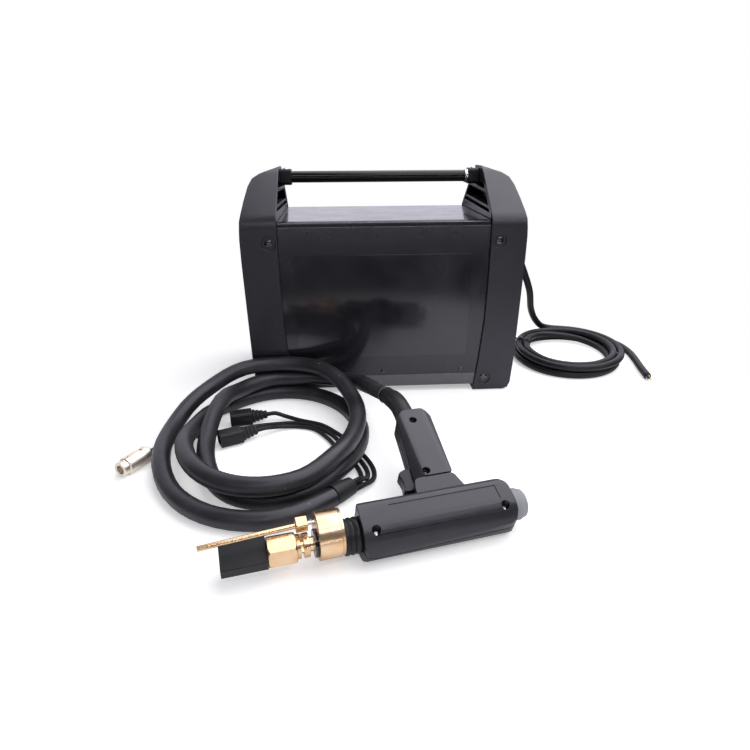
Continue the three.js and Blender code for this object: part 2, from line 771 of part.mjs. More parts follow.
// Side view of the barrel housing: it narrows a little to the rear below, to the nose above
function bodyOutline(inset) {
  const rear_chamfer = 13;
  const nose_rounding = 9;
  return softened([
    [body_front + inset, -body_lower + inset, nose_rounding],
    [body_rear - inset, -body_tail_lower + inset, nose_rounding],
    [body_rear - inset, body_upper - rear_chamfer - inset * 0.4],
    [body_rear - rear_chamfer - inset * 0.4, body_upper - inset],
    [body_front + inset, body_nose_upper - inset],
  ], body_rounding);
}

const grip_half = grip_depth / 2;
const grip_front = -grip_fore;
const grip_back = grip_front + grip_width;
const grip_edge = 2;
function stubOutline(inset) {
  const root = body_upper - 2 * body_rounding;
  const root_flare = 8;
  const front_flare = 4;
  const waist = 13;
  const open = inset ? overrun : 0;
  return softened([
    [grip_front - front_flare + inset, root], [grip_back + root_flare - inset, root],
    [grip_back + grip_edge - inset, stub_reach - waist], [grip_back - grip_edge - inset, stub_reach + open],
    [grip_front + inset, stub_reach + open], [grip_front - front_flare + inset, stub_reach - waist],
  ], body_rounding);
}

function gripOutline(inset) {
  const start = stub_reach + fit - (inset ? overrun : 0);
  const lean_front = 8;
  const lean_back = 5;
  const chamfer = 9;
  return softened([
    [grip_front + inset, start], [grip_back - grip_edge - inset, start],
    [grip_back + lean_back - inset, grip_reach - chamfer],
    [grip_back + lean_back - chamfer, grip_reach - inset],
    [grip_front + lean_front + chamfer, grip_reach - inset],
    [grip_front + lean_front + inset, grip_reach - chamfer],
  ], grip_edge * 2);
}

function gripSection(inset) {
  const half = grip_half - inset;
  const front_facet = 12;
  const back_facet = 4;
  const front_lean = 3;
  const back_lean = 10;
  return softened([
    [grip_front - front_lean + inset, -half * 0.45], [grip_front + front_facet, -half],
    [grip_back - back_facet, -half], [grip_back + back_lean - inset, -half * 0.45],
    [grip_back + back_lean - inset, half * 0.45], [grip_back - back_facet, half],
    [grip_front + front_facet, half], [grip_front - front_lean + inset, half * 0.45],
  ], grip_edge * 2);
}

const gun_screw_bore = 4.5;
const well_depth = 6;
const post_wall = 2;
const body_screw_drop = 12;
const body_screws = [[body_front + 3 * gun_screw_bore, -body_screw_drop],
  [body_rear - 3 * gun_screw_bore, -body_screw_drop]];
const grip_screw_inset = 18;
const grip_screw_rise = 7;
const upper_screw_back = 26;
const lower_screw_back = 16;
const grip_screws = [[grip_front + upper_screw_back, grip_reach - grip_screw_inset],
  [grip_front + lower_screw_back, stub_reach + grip_screw_rise]];
function screwWells(places, depth) {
  return places.map(([x, y]) => bar("z", gun_screw_bore, depth - well_depth, depth + overrun, x, y, 12));
}

// Body: barrel housing with the stub that the grip fits onto
const trigger_gap = 9;
const trigger_low = body_upper + trigger_gap;
const trigger_high = trigger_low + trigger_length;
const trigger_half = trigger_width / 2;
const slot_back = 2;
const slot_front = grip_front - 5 * overrun;
const trigger_slot = brick(slot_front, slot_back, trigger_low - fit, trigger_high + fit,
  -trigger_half - fit, trigger_half + fit);
const stub_step = 1;
const stub_depth = grip_half - stub_step;
const body_outer = join(
  drawnX(bodySection(0), body_front, body_rear).intersect(drawnZ(bodyOutline(0), -body_face, body_face)),
  drawnZ(stubOutline(0), -stub_depth, stub_depth),
);
const body_inner = join(
  drawnX(bodySection(shell_wall), body_front, body_rear)
    .intersect(drawnZ(bodyOutline(shell_wall), -body_face, body_face)),
  drawnZ(stubOutline(shell_wall), -stub_depth + shell_wall, stub_depth - shell_wall),
);
const seat_step = 6;
const neck_bore = neck_diameter / 2 - seat_step;
const rear_bore = rear_cap_diameter / 2 - seat_step;
const seat_depth = 14;
const label_depth = 0.8;
const label_front = 33;
const label_rear = 16;
const label_low = -4;
const label_high = 13;
const label = brick(body_front + label_front, body_rear - label_rear, label_low, label_high,
  body_face - label_depth, body_face + overrun);
const screw_posts = join(...body_screws.map(([x, y]) => bar("z", gun_screw_bore + post_wall,
  -body_face, body_face, x, y, 10)));
const body_whole = cut(
  join(cut(body_outer, body_inner), screw_posts.intersect(body_outer)),
  bar("x", neck_bore + fit, body_front - overrun, body_front + 4 * gun_screw_bore + post_wall + fit, 0, 0, 18),
  bar("x", rear_bore + fit, body_rear - seat_depth - fit, body_rear + overrun, 0, 0, 18),
  trigger_slot,
  label,
  ...screwWells(body_screws, body_face - overrun),
);
const gun_reach = 2 * body_length;
const upper_side = brick(-gun_reach, gun_reach, -gun_reach, gun_reach, fit / 2, gun_reach);
const lower_side = brick(-gun_reach, gun_reach, -gun_reach, gun_reach, -gun_reach, -fit / 2);
place("gun_body_near", body_whole.intersect(upper_side), "gun_plastic", gun);
place("gun_body_far", body_whole.intersect(lower_side), "gun_plastic", gun);

// Grip, leaning a little to the rear
const grip_posts = join(...grip_screws.flatMap(([x, y]) => [-1, 1].map((side) => bar("z",
  gun_screw_bore + post_wall, side > 0 ? trigger_half + fit : -grip_half,
  side > 0 ? grip_half : -trigger_half - fit, x, y, 10))));
const grip_outer = drawnY(gripSection(0), stub_reach, grip_reach + overrun)
  .intersect(drawnZ(gripOutline(0), -grip_half, grip_half));
const grip_inner = drawnY(gripSection(shell_wall), stub_reach - overrun, grip_reach + overrun)
  .intersect(drawnZ(gripOutline(shell_wall), -grip_half, grip_half));
const cord_seat = 25;
const cord_x = grip_front + cord_seat;
const boot_wall = 4;
const side_hole = 1.6;
const side_hole_gap = 10;
const grip_whole = cut(
  join(cut(grip_outer, grip_inner), grip_posts.intersect(grip_outer)),
  bar("y", boot_diameter / 2 - boot_wall, grip_reach - seat_depth, grip_reach + overrun, cord_x, 0, 24),
  trigger_slot,
  ...screwWells(grip_screws, grip_half),
  bar("z", side_hole, grip_half - shell_wall / 2, grip_half + overrun, grip_screws[1][0] - side_hole_gap,
    grip_screws[1][1], 10),
);
place("grip_near", grip_whole.intersect(upper_side), "gun_plastic", gun);
place("grip_far", grip_whole.intersect(lower_side), "gun_plastic", gun);

// Trigger blade and the switch that it presses
const trigger_back = -trigger_travel;
const trigger_reach = 14;
const trigger_dip = 4;
const trigger_edge = 2;
const trigger = drawnZ(softened([
  [grip_front - trigger_reach, trigger_high - trigger_dip, trigger_dip],
  [grip_front - trigger_reach + trigger_dip, trigger_low + trigger_length * 0.4, 2 * trigger_dip],
  [grip_front - trigger_reach, trigger_low + trigger_edge / 2],
  [grip_front - trigger_reach / 2, trigger_low], [trigger_back, trigger_low + trigger_edge],
  [trigger_back, trigger_high - trigger_edge], [grip_front - trigger_dip, trigger_high],
], trigger_edge), -trigger_half, trigger_half);
place("trigger", trigger, "trigger_plastic", gun);
const switch_depth = stub_depth - shell_wall - fit;
const switch_front = 2 * fit;
const switch_length = 12;
const switch_pin = 1.6;
const switch_low = trigger_low + trigger_edge;
const switch_box = brick(switch_front, switch_front + switch_length, switch_low, stub_reach,
  -switch_depth, switch_depth);
place("trigger_switch", cut(switch_box, bar("z", switch_pin, -switch_depth - overrun,
  switch_depth + overrun, switch_front + switch_length * 0.6, (switch_low + stub_reach) / 2, 12)),
"panel_plastic", gun);

// Grey end cap at the rear of the barrel
const rear_cap_radius = rear_cap_diameter / 2;
const cap_edge = 2;
place("gun_rear_cap", turned("x", [
  [0, body_rear - seat_depth], [rear_bore, body_rear - seat_depth], [rear_bore, body_rear + fit],
  [rear_cap_radius, body_rear + fit], [rear_cap_radius, body_rear + rear_cap_length * 0.62],
  [rear_cap_radius - cap_edge * 0.8, body_rear + rear_cap_length * 0.7],
  [rear_cap_radius - cap_edge, body_rear + rear_cap_length * 0.92],
  [rear_cap_radius - cap_edge * 2, body_rear + rear_cap_length], [0, body_rear + rear_cap_length],
], 20), "grey_cap", gun);

// Nose: insulating neck with three rings, and the sleeve that the clamp ring turns on
const neck_front = body_front - neck_length;
const ring_back = neck_front - fit;
const ring_front = ring_back - ring_length;
const sleeve_radius = sleeve_diameter / 2;
const neck_outer = neck_diameter / 2;
const neck_groove = 1;
const spindle_radius = spindle_diameter / 2;
const neck_profile = [[spindle_radius + fit, ring_front], [sleeve_radius, ring_front],
  [sleeve_radius, ring_back + fit], [neck_outer - neck_groove, ring_back + fit]];
const neck_rings = 3;
const ring_pitch = (neck_length - fit) / neck_rings;
for (let i = 0; i < neck_rings; i++) {
  const start = neck_front + i * ring_pitch;
  neck_profile.push([neck_outer, start + ring_pitch * 0.3], [neck_outer, start + ring_pitch * 0.75],
    [neck_outer - neck_groove, start + ring_pitch]);
}
neck_profile.push([neck_bore, body_front - fit], [neck_bore, body_front + seat_depth],
  [spindle_radius + fit, body_front + seat_depth]);
neck_profile.push(neck_profile[0]);
place("gun_neck", turned("x", neck_profile, 18), "rubber", gun);

// Clamp ring: bored off its middle, so that its thick side holds the pin of the rod's clamp
const ring_radius = ring_diameter / 2;
const throw_way = new THREE.Vector2(rod_side, rod_rise).normalize().multiplyScalar(ring_throw);
const pin_radius = pin_diameter / 2;
const pin_depth = 16;
const ring_lip = 3;
const clamp_ring = cut(
  join(
    bar("x", ring_radius, ring_front, ring_back - ring_lip, throw_way.x, throw_way.y, 32),
    bar("x", ring_radius - ring_lip / 3, ring_back - ring_lip - fit, ring_back, throw_way.x, throw_way.y, 32),
  ),
  bar("x", sleeve_radius + fit, ring_front - overrun, ring_back + overrun, 0, 0, 18),
  bar("x", pin_radius + fit, ring_front - overrun, ring_front + pin_depth + fit, rod_side, rod_rise, 12),
);
place("clamp_ring", clamp_ring, "brass", gun);
const retainer_front = ring_front - retainer_length;
const retainer_lap = 2;
place("ring_retainer", cut(
  bar("x", sleeve_radius + retainer_lap, retainer_front, ring_front - fit, 0, 0, 18),
  bar("x", spindle_radius + fit, retainer_front - overrun, ring_front + overrun, 0, 0, 16),
), "dark_steel", gun);

// Spindle with its slotted collet and flat tongue, and the nut that closes the collet
const collet_back = retainer_front - nose_gap;
const collet_front = collet_back - collet_length;
const collet_radius = collet_diameter / 2;
const nut_back = collet_front - fit;
const nut_front = nut_back - nut_length;
const spindle_depth = 135;
const tongue_width = 14;
const tongue_height = 5;
const tongue_seat = 4;
const tongue_end = nut_front - block_length * 0.6;
const collet_slot = 3;
const spindle = join(
  bar("x", spindle_radius, nut_front + fit, body_front + spindle_depth, 0, 0, 16),
  cut(
    bar("x", collet_radius, collet_front, collet_back, 0, 0, 20),
    ...[0, 120, 240].map((angle) => brick(collet_front + collet_length * 0.3,
      collet_front + collet_length * 0.55, -collet_radius - overrun, collet_radius + overrun,
      spindle_radius * 0.9, collet_radius + overrun).rotate([angle, 0, 0])),
    brick(collet_front - overrun, collet_front + collet_length * 0.8, -collet_slot / 2, collet_slot / 2,
      spindle_radius * 0.9, collet_radius + overrun),
  ),
  brick(tongue_end, nut_front + tongue_seat, -tongue_width / 2, tongue_width / 2,
    -tongue_height / 2, tongue_height / 2),
);
place("spindle", spindle, "brass", gun);

const nut_corner = nut_across / Math.sqrt(3);
const nut_chamfer = 2;
const nut = cut(
  bar("x", nut_corner, nut_front, nut_back, 0, 0, 6).rotate([nut_twist, 0, 0])
    .intersect(turned("x", [
      [0, nut_front], [nut_corner - nut_chamfer, nut_front], [nut_corner, nut_front + nut_chamfer],
      [nut_corner, nut_back - nut_chamfer], [nut_corner - nut_chamfer, nut_back], [0, nut_back],
    ], 24)),
  bar("x", spindle_radius + fit, nut_front - overrun, nut_back + overrun, 0, 0, 16),
);
place("collet_nut", nut, "brass", gun);

const block_corner = 1.2;
const tip_block = cut(
  drawnX(rounded(block_width, block_height, block_corner), nut_front - fit - block_length, nut_front - fit),
  brick(tongue_end - fit, nut_front + overrun, -tongue_width / 2 - fit, tongue_width / 2 + fit,
    -tongue_height / 2 - fit, tongue_height / 2 + fit),
);
place("tip_block", tip_block, "rubber", gun);

// Earth rod in its sprung clamp, which rides on a pin in the clamp ring
const clamp_back = retainer_front - nose_gap;
const clamp_front = clamp_back - clamp_size;
const clamp_corner = 1.5;
const pin_seat = 3;
const pin_start = clamp_back - pin_seat;
const rod_slant = 3.2;
const rod_radius = rod_diameter / 2;
const rod_end = pin_start - fit;
const rod_flat = 9;
const lean_rod = (body) => body.translate(-rod_end, -rod_side, -rod_rise).rotate([0, 0, rod_slant])
  .translate(rod_end, rod_side, rod_rise);
place("rod_clamp", cut(
  drawnX(rounded(clamp_size, clamp_size, clamp_corner), clamp_front, clamp_back)
    .translate(0, rod_side, rod_rise),
  lean_rod(bar("x", rod_radius + fit, clamp_front - clamp_size, rod_end + fit, rod_side, rod_rise, 12)),
  bar("x", pin_radius + fit, pin_start - fit, clamp_back + overrun, rod_side, rod_rise, 12),
), "brass", gun);
place("guide_pin", bar("x", pin_radius, pin_start, ring_front + pin_depth - overrun, rod_side, rod_rise, 12),
  "steel", gun);
const rod_tip = rod_end - rod_length;
place("earth_rod", lean_rod(cut(
  bar("x", rod_radius, rod_tip, rod_end, rod_side, rod_rise, 12),
  brick(rod_tip - overrun, rod_tip + rod_flat, rod_side - rod_diameter, rod_side + rod_diameter,
    rod_rise + rod_radius * 0.45, rod_rise + rod_diameter),
)), "brass", gun);

// The gun lies on its side, its grip end raised by the stiff cable
const gun_axes = new THREE.Matrix4().makeBasis(
  new THREE.Vector3(Math.cos(gun_yaw), Math.sin(gun_yaw), 0),
  new THREE.Vector3(-Math.sin(gun_yaw) * Math.cos(gun_tilt), Math.cos(gun_yaw) * Math.cos(gun_tilt),
    Math.sin(gun_tilt)),
  new THREE.Vector3(Math.sin(gun_yaw) * Math.sin(gun_tilt), -Math.cos(gun_yaw) * Math.sin(gun_tilt),
    Math.cos(gun_tilt)),
);
gun.quaternion.setFromRotationMatrix(gun_axes);
gun.position.set(gun_x, gun_y, 0);
const gun_low = new THREE.Box3().setFromObject(gun, true).min.z;
gun.position.z = -gun_low;

// Cords: a round section carried along a route, which may swell from its start to its full
// radius over the first part of its way
function tube(route, radius, sides, steps, start_radius = radius) {
  const swell_share = 0.35;
  const line = smoothLine(route);
  const frames = line.computeFrenetFrames(steps);
  const places = [];
  const faces = [];
  for (let i = 0; i <= steps; i++) {
    const at = line.getPointAt(i / steps);
    const share = Math.min(1, i / steps / swell_share);
    for (let j = 0; j < sides; j++) {
      const angle = ((j + 0.5) / sides) * turn;
      const reach = start_radius + (radius - start_radius) * share;
      const point = at.clone().addScaledVector(frames.normals[i], reach * Math.cos(angle))
        .addScaledVector(frames.binormals[i], reach * Math.sin(angle));
      places.push(...point.toArray());
      const next = (j + 1) % sides;
      const ring = i * sides;
      if (i < steps) faces.push(ring + j, ring + next, ring + sides + next,
        ring + j, ring + sides + next, ring + sides + j);
    }
  }
  for (let j = 1; j < sides - 1; j++) {
    const last = steps * sides;
    faces.push(0, j + 1, j, last, last + j, last + j + 1);
  }
  return new THREE.BufferGeometry()
    .setAttribute("position", new THREE.BufferAttribute(new Float32Array(places), 3)).setIndex(faces);
}

function smoothLine(route) {
  return new THREE.CatmullRomCurve3(route.map((point) => new THREE.Vector3(...point)), false, "centripetal");
}

function routeLength(route) {
  return smoothLine(route).getLength();
}

// Least gap of a coiled cord to itself, between points more than half a turn apart
function selfGap(route, diameter) {
  const line = smoothLine(route);
  const count = Math.ceil(line.getLength() / (diameter / 4));
  const points = line.getSpacedPoints(count);
  const apart = Math.ceil(3 * diameter / (line.getLength() / count));
  let least = Infinity;
  for (let i = 0; i < points.length; i++)
    for (let j = i + apart; j < points.length; j++)
      least = Math.min(least, points[i].distanceTo(points[j]));
  return least - diameter;
}

// Straight ends of one diameter, in line with the cord's first and last way
function withStraightEnds(route, diameter, first_way, last_way) {
  const ahead = (point, way, step) => point.map((value, axis) => value + way[axis] * step);
  return [ahead(route[0], first_way, -diameter), ...route, ahead(route.at(-1), last_way, diameter)];
}

// Value that eases from one listed height to the next along the turns
function eased(marks, at) {
  let i = 0;
  while (i < marks.length - 2 && at > marks[i + 1][0]) i++;
  const [from, low] = marks[i];
  const [to, high] = marks[i + 1];
  const share = Math.min(1, Math.max(0, (at - from) / (to - from)));
  return low + (high - low) * share * share * (3 - 2 * share);
}

// Thick cable of the gun: a free run to the unit's foot, then loose loops, wound from the
// far side by way of the left one and piled where they cross
const cable_radius = cable_diameter / 2;
const layer_gap = 1.4;
const cable_layer = cable_diameter + layer_gap;
const cable_middle = [-170, -172];
const unit_gap = fit;
const cable_far = -(cable_radius + unit_gap);
const cable_loops = [
  { left: -262, near: -326, right: -48 },
  { left: -289, near: -337, right: -52 },
  { left: -320, near: -366, right: -42 },
];
const loop_steps = 24;
const cable_steps = 62;
const lead_play = 0.9;
const hump = lead_diameter + lead_play;
const cable_turns = cable_steps / loop_steps;
const climb_shares = [[0, 1], [0.16, 1], [0.3, 0], [1.2, 0], [1.38, 1], [1.72, 1], [1.92, 2], [2.05, 2],
  [2.25, 0], [cable_turns, 0]];
const crossing_shares = [0.24, 0.69, 1.24, 1.69, 2.24];
const hump_shares = [[-1, 0], ...crossing_shares.flatMap((middle) =>
  [[middle - 0.13, 0], [middle - 0.05, 1], [middle + 0.05, 1], [middle + 0.13, 0]]), [cable_turns, 0]];
const cable_loop_points = [];
for (let i = 0; i <= cable_steps; i++) {
  const at = i / loop_steps;
  const loop = cable_loops[Math.floor(at)];
  const across = Math.sin(at * turn);
  const along = Math.cos(at * turn);
  const side = across > 0 ? cable_middle[0] - loop.left : loop.right - cable_middle[0];
  const reach = along > 0 ? cable_far - cable_middle[1] : cable_middle[1] - loop.near;
  cable_loop_points.push([
    cable_middle[0] - across * side,
    cable_middle[1] + along * reach,
    cable_radius + cable_layer * eased(climb_shares, at) + hump * eased(hump_shares, at),
  ]);
}
const last_phase = cable_turns * turn;
const last_loop = cable_loops.at(-1);
const cable_way = new THREE.Vector3(-Math.cos(last_phase) * (last_loop.right - cable_middle[0]),
  -Math.sin(last_phase) * (cable_middle[1] - last_loop.near), 0).normalize();
const cable_coil = withStraightEnds(cable_loop_points, cable_diameter, [-1, 0, 0], cable_way.toArray());
console.log("gun cable, least gap of its loops", selfGap(cable_coil, cable_diameter).toFixed(2), "mm, length",
  routeLength(cable_coil).toFixed(0));
place("gun_cable_coil", tube(cable_coil, cable_radius, 6, cable_steps + 2), "cord_rubber", cords);

const cable_run = [[-14.1, -185.8, 79.95], [-25, -150, 72], [-35, -106, 60], [-54, -55, 47], [-82, -27, 38.6],
  [-112, -14, 37.4], [-128, -12.3, 37.4], [-145.7, -12.3, 37.4]];
place("gun_cable_run", tube(cable_run, cable_radius, 8, 14, cable_end_diameter / 2), "cord_rubber", cords);

// Breakout boot where the thick cable parts into three leads
const breakout_length = 31;
const breakout_wall = 1;
const breakout_collar = 8;
const cable_end = new THREE.Vector3(...cable_coil.at(-1));
function lathe(profile, sides) {
  return new THREE.LatheGeometry(profile.map(([r, h]) => new THREE.Vector2(r, h)), sides);
}
function alongWay(geometry, start, way) {
  const turned_to = new THREE.Quaternion().setFromUnitVectors(new THREE.Vector3(0, 1, 0), way);
  return geometry.applyQuaternion(turned_to).translate(start.x, start.y, start.z);
}
const breakout_radius = cable_radius + breakout_wall;
const breakout = lathe([[0, fit], [breakout_radius, fit], [breakout_radius, breakout_collar],
  [breakout_radius - 2 * breakout_wall, breakout_length], [0, breakout_length]], 16);
place("cable_breakout", solid(alongWay(breakout, cable_end.setZ(breakout_radius), cable_way)), "rubber", cords);

// Two control leads with ribbed plugs, and the lead of the brass earth plug
const lead_radius = lead_diameter / 2;
const lead_floor = lead_radius + fit;
const lead_1 = [[-67.1, -299.9, 8.5], [-59.3, -293, 8.2], [-52.5, -281, 4.6], [-52, -264, lead_floor],
  [-58, -242, lead_floor], [-71, -216, lead_floor], [-84.3, -190.8, lead_floor], [-96, -165, lead_floor],
  [-118, -134, lead_floor], [-143, -124.5, lead_floor], [-166, -128, 6], [-186.5, -141.9, 12],
  [-198.5, -147.9, 12]];
const lead_2 = [[-61.1, -306.7, 8.5], [-51.1, -298, 8.2], [-37, -279, 4.6], [-34.5, -258, lead_floor],
  [-41, -230, lead_floor], [-54, -202, lead_floor], [-72, -167, lead_floor], [-85, -147, lead_floor],
  [-106, -122, lead_floor], [-140, -103.5, lead_floor], [-163, -94.5, 7], [-178, -93.4, 12],
  [-189.8, -96.2, 12]];
const brass_lead = [[-64.1, -303.3, 16.5], [-55.4, -295.7, 16.2], [-45, -281, 8.5], [-43.2, -260, 4.1],
  [-49.5, -235, lead_floor], [-62.5, -208, lead_floor], [-78.5, -177, lead_floor], [-92, -152, lead_floor],
  [-114, -128, lead_floor], [-145, -113.5, lead_floor], [-200, -118, lead_floor], [-240, -133, lead_floor],
  [-285, -145, lead_floor], [-309, -153, 3.7], [-325, -168, 3.8], [-331.5, -184, 7.8],
  [-333.3, -196.2, 12], [-337, -203, 12]];
place("control_lead_1", tube(lead_1, lead_radius, 8, 22), "cord_rubber", cords);
place("control_lead_2", tube(lead_2, lead_radius, 8, 22), "cord_rubber", cords);
place("brass_lead", tube(brass_lead, lead_radius, 8, 32), "cord_rubber", cords);

// Black plug: a ribbed sleeve that grows into a boxed body with a shallow bare recess on top
const plug_rise = 12;
function plugAt(rear, tip) {
  const start = new THREE.Vector3(...rear);
  const way = new THREE.Vector3(...tip).sub(start).normalize();
  const ribs = 4;
  const sleeve = plug_length * 0.42;
  const pitch = sleeve / ribs;
  const groove = 1;
  const corner = 5;
  const recess_depth = 0.6;
  const least = plug_height / 2 * 0.5;
  const profile = [[0, fit], [least, fit]];
  for (let i = 0; i < ribs; i++) {
    const radius = least + (plug_height / 2 - least) * (i + 1) / ribs;
    profile.push([radius - groove, pitch * (i + 0.2)], [radius, pitch * (i + 0.4)], [radius, pitch * (i + 0.8)],
      [radius - groove, pitch * (i + 1)]);
  }
  profile.push([plug_height / 2 - groove, sleeve + groove], [0, sleeve + groove]);
  const box = new THREE.ExtrudeGeometry(rounded(plug_width, plug_height, corner),
    { depth: plug_length - sleeve, bevelEnabled: false, curveSegments: 2 });
  box.rotateX(-quarter).translate(0, sleeve, 0);
  const recess = new THREE.BoxGeometry(plug_width * 0.55, (plug_length - sleeve) * 0.6, 2 * recess_depth);
  recess.translate(0, (sleeve + plug_length) / 2, plug_height / 2);
  const mouth = new THREE.CylinderGeometry(plug_height * 0.36, plug_height * 0.36, overrun * 2, 16);
  mouth.translate(0, plug_length, 0);
  const placed = (geometry) => solid(alongWay(geometry, start, way));
  return cut(join(placed(lathe(profile, 10)), placed(box)), placed(recess), placed(mouth));
}
place("control_plug_1", plugAt(lead_1.at(-1), [-252.3, -174.4, plug_rise]), "rubber", cords);
place("control_plug_2", plugAt(lead_2.at(-1), [-254.4, -111.7, plug_rise]), "rubber", cords);

// Metal plug: a sleeve with a slot and two holes on top, and a narrower steel tip
const brass_radius = brass_diameter / 2;
const brass_tip = 9;
const brass_step = 2;
const brass_wall = 2.5;
const brass_start = new THREE.Vector3(...brass_lead.at(-1));
const brass_way = new THREE.Vector3(-361, -247, plug_rise).sub(brass_start).normalize();
const brass_profile = [[0, fit], [brass_radius * 0.5, fit], [brass_radius * 0.8, brass_step],
  [brass_radius, 3 * brass_step], [brass_radius, brass_length - brass_tip],
  [brass_radius - brass_step, brass_length - brass_tip + fit], [brass_radius - brass_step, brass_length],
  [brass_radius * 0.5, brass_length], [brass_radius * 0.5, brass_length - brass_tip],
  [0, brass_length - brass_tip]];
const brass_cuts = [[0.26, 0.62, 5], [0.7, 0.76, 3], [0.78, 0.83, 2.5]].map(([from_share, to_share, width]) =>
  new THREE.BoxGeometry(width, (to_share - from_share) * brass_length, brass_wall * 2)
    .translate(0, (from_share + to_share) / 2 * brass_length, brass_radius));
const brass_placed = (geometry) => solid(alongWay(geometry, brass_start, brass_way));
place("brass_plug", cut(brass_placed(lathe(brass_profile, 20)), ...brass_cuts.map(brass_placed)),
  "silver_plug", cords);

// Boot on the gun's grip, bent with the cable and narrower towards it
gun.updateMatrixWorld(true);
const boot_start = gun.localToWorld(new THREE.Vector3(cord_x, grip_reach + fit, 0));
const boot_end = new THREE.Vector3(...cable_run[0]);
const run_way = new THREE.Vector3(...cable_run[1]).sub(boot_end).normalize();
boot_end.addScaledVector(run_way, -fit);
const bend_share = 0.38;
const boot_bend = boot_start.distanceTo(boot_end) * bend_share;
const grip_way = new THREE.Vector3(0, 1, 0).applyQuaternion(gun.quaternion);
const boot_seat = 6;
const along = (point, way, step) => point.clone().addScaledVector(way, step);
const boot_curve = new THREE.CubicBezierCurve3(along(boot_end, run_way, -boot_seat),
  along(boot_end, run_way, -boot_bend), along(boot_start, grip_way, boot_bend),
  along(boot_start, grip_way, boot_seat));
const boot_route = [boot_end, ...boot_curve.getPoints(6), boot_start].map((point) => point.toArray());
const boot_collar = 5;
const boot_lip = 1;
const boot_ring_radius = boot_end_diameter / 2 + boot_lip;
const boot_ring = lathe([[0, 0], [boot_ring_radius, 0], [boot_ring_radius, boot_collar], [0, boot_collar]], 16);
place("gun_boot", join(
  solid(tube(boot_route, boot_diameter / 2, 12, 9, boot_end_diameter / 2)),
  solid(alongWay(boot_ring, boot_end, run_way.clone().negate())),
), "rubber", cords);

// Mains cord: from the gland down to a coil of four turns in two layers, and a tail
const mains_radius = mains_diameter / 2;
const mains_layer_gap = 0.8;
const mains_layer = mains_diameter + mains_layer_gap;
const coil_middle = [375, 150];
const coil_long = 122;
const coil_short = 104;
const coil_heading = 71.6;
const coil_turns = 4;
const tie_thickness = 1.6;
const tie_lift = tie_thickness + 3 * fit;
const coil_angle = THREE.MathUtils.degToRad(coil_heading);
const long_way = new THREE.Vector2(Math.cos(coil_angle), Math.sin(coil_angle));
const short_way = new THREE.Vector2(long_way.y, -long_way.x);
const mains_climb_shares = [[0, 1], [1.75, 1], [2.25, 0], [coil_turns, 0]];
const mains_hump_shares = [[-1, 0], [0.55, 0], [0.7, 1], [0.8, 1], [0.95, 0], [1, 0]];
const mains_loop_points = [];
for (let i = 0; i <= coil_turns * loop_steps; i++) {
  const at = i / loop_steps;
  const inset = mains_layer * Math.min(at, coil_turns - at);
  const place_on = coil_middle.map((middle, axis) => middle
    + Math.cos(at * turn) * (coil_long - inset) * long_way.getComponent(axis)
    + Math.sin(at * turn) * (coil_short - inset) * short_way.getComponent(axis));
  mains_loop_points.push([...place_on, mains_radius + mains_layer * eased(mains_climb_shares, at)
    + tie_lift * eased(mains_hump_shares, at % 1)]);
}
const mains_way = [short_way.x, short_way.y, 0];
const mains_coil = withStraightEnds(mains_loop_points, mains_diameter, mains_way, mains_way);
console.log("mains cord, least gap of its loops", selfGap(mains_coil, mains_diameter).toFixed(2), "mm, length",
  routeLength(mains_coil).toFixed(0));
place("mains_coil", tube(mains_coil, mains_radius, 6, coil_turns * loop_steps + 1), "cord_rubber", cords);
const mains_run = [[236, 184, 205], [249, 184, 205], [263, 186, 199], [278, 190, 182], [291, 195, 157],
  [306, 203, 123], [322, 230, 78], [344, 258, 45], [366, 273.5, 25.5], [388.6, 274.1, 20.3],
  [400.9, 270, 20.3]];
const mains_tail = [[426.1, 261.6, 6.5], [438.4, 257.5, 6.5], [456, 251, 6.5], [474, 241, 6.5], [491, 222, 6.5],
  [503, 190, 6.5], [504, 150, 6.5], [497, 110, 6.5], [487, 68, 6.5], [478, 24, 6.5]];
place("mains_run", tube(mains_run, mains_radius, 8, 16), "cord_rubber", cords);
place("mains_tail", tube(mains_tail, mains_radius, 8, 14), "cord_rubber", cords);

// Cable tie round the four strands on the side next to the unit
const tie_width = 7;
const tie_corner = 2.4;
const tie_head_half = 4;
const tie_head_rise = 5;
const tie_half = 0.75 * mains_layer + mains_radius + 3 * fit;
const tie_high = mains_layer / 2 + mains_radius + 2 * fit;
const tie_middle = mains_radius + tie_lift + mains_layer / 2;
const band = cut(
  drawnX(rounded(2 * (tie_half + tie_thickness), 2 * (tie_high + tie_thickness), tie_corner + tie_thickness),
    -tie_width / 2, tie_width / 2),
  drawnX(rounded(2 * tie_half, 2 * tie_high, tie_corner), -tie_width, tie_width),
);
const tie_head = brick(-tie_width * 0.7, tie_width * 0.7, -tie_head_half, tie_head_half,
  tie_high + tie_thickness / 2, tie_high + tie_head_rise);
const coil_inner = coil_short - mains_layer;
place("mains_tie", join(band, tie_head).rotate([0, 0, coil_heading]).translate(
  coil_middle[0] - short_way.x * coil_inner, coil_middle[1] - short_way.y * coil_inner, tie_middle),
"tie_nylon", cords);

// Origin at the middle of the floor space that the unit and the gun take
const floor_space = new THREE.Box3().setFromObject(unit, true).expandByObject(gun, true);
const floor_middle = floor_space.getCenter(new THREE.Vector3());
whole.position.set(-floor_middle.x, -floor_middle.y, 0);

export default whole;
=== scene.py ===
"""Dent pulling spot welder: finishes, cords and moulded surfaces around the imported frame.

Metres, +Z up. The frame gives every place. The unit's own origin is the middle of its viewed
face at floor level, and the gun has axes of its own: barrel along x, grip along y.
"""
import json
import math

import bmesh
import bpy
from mathutils import Matrix, Vector


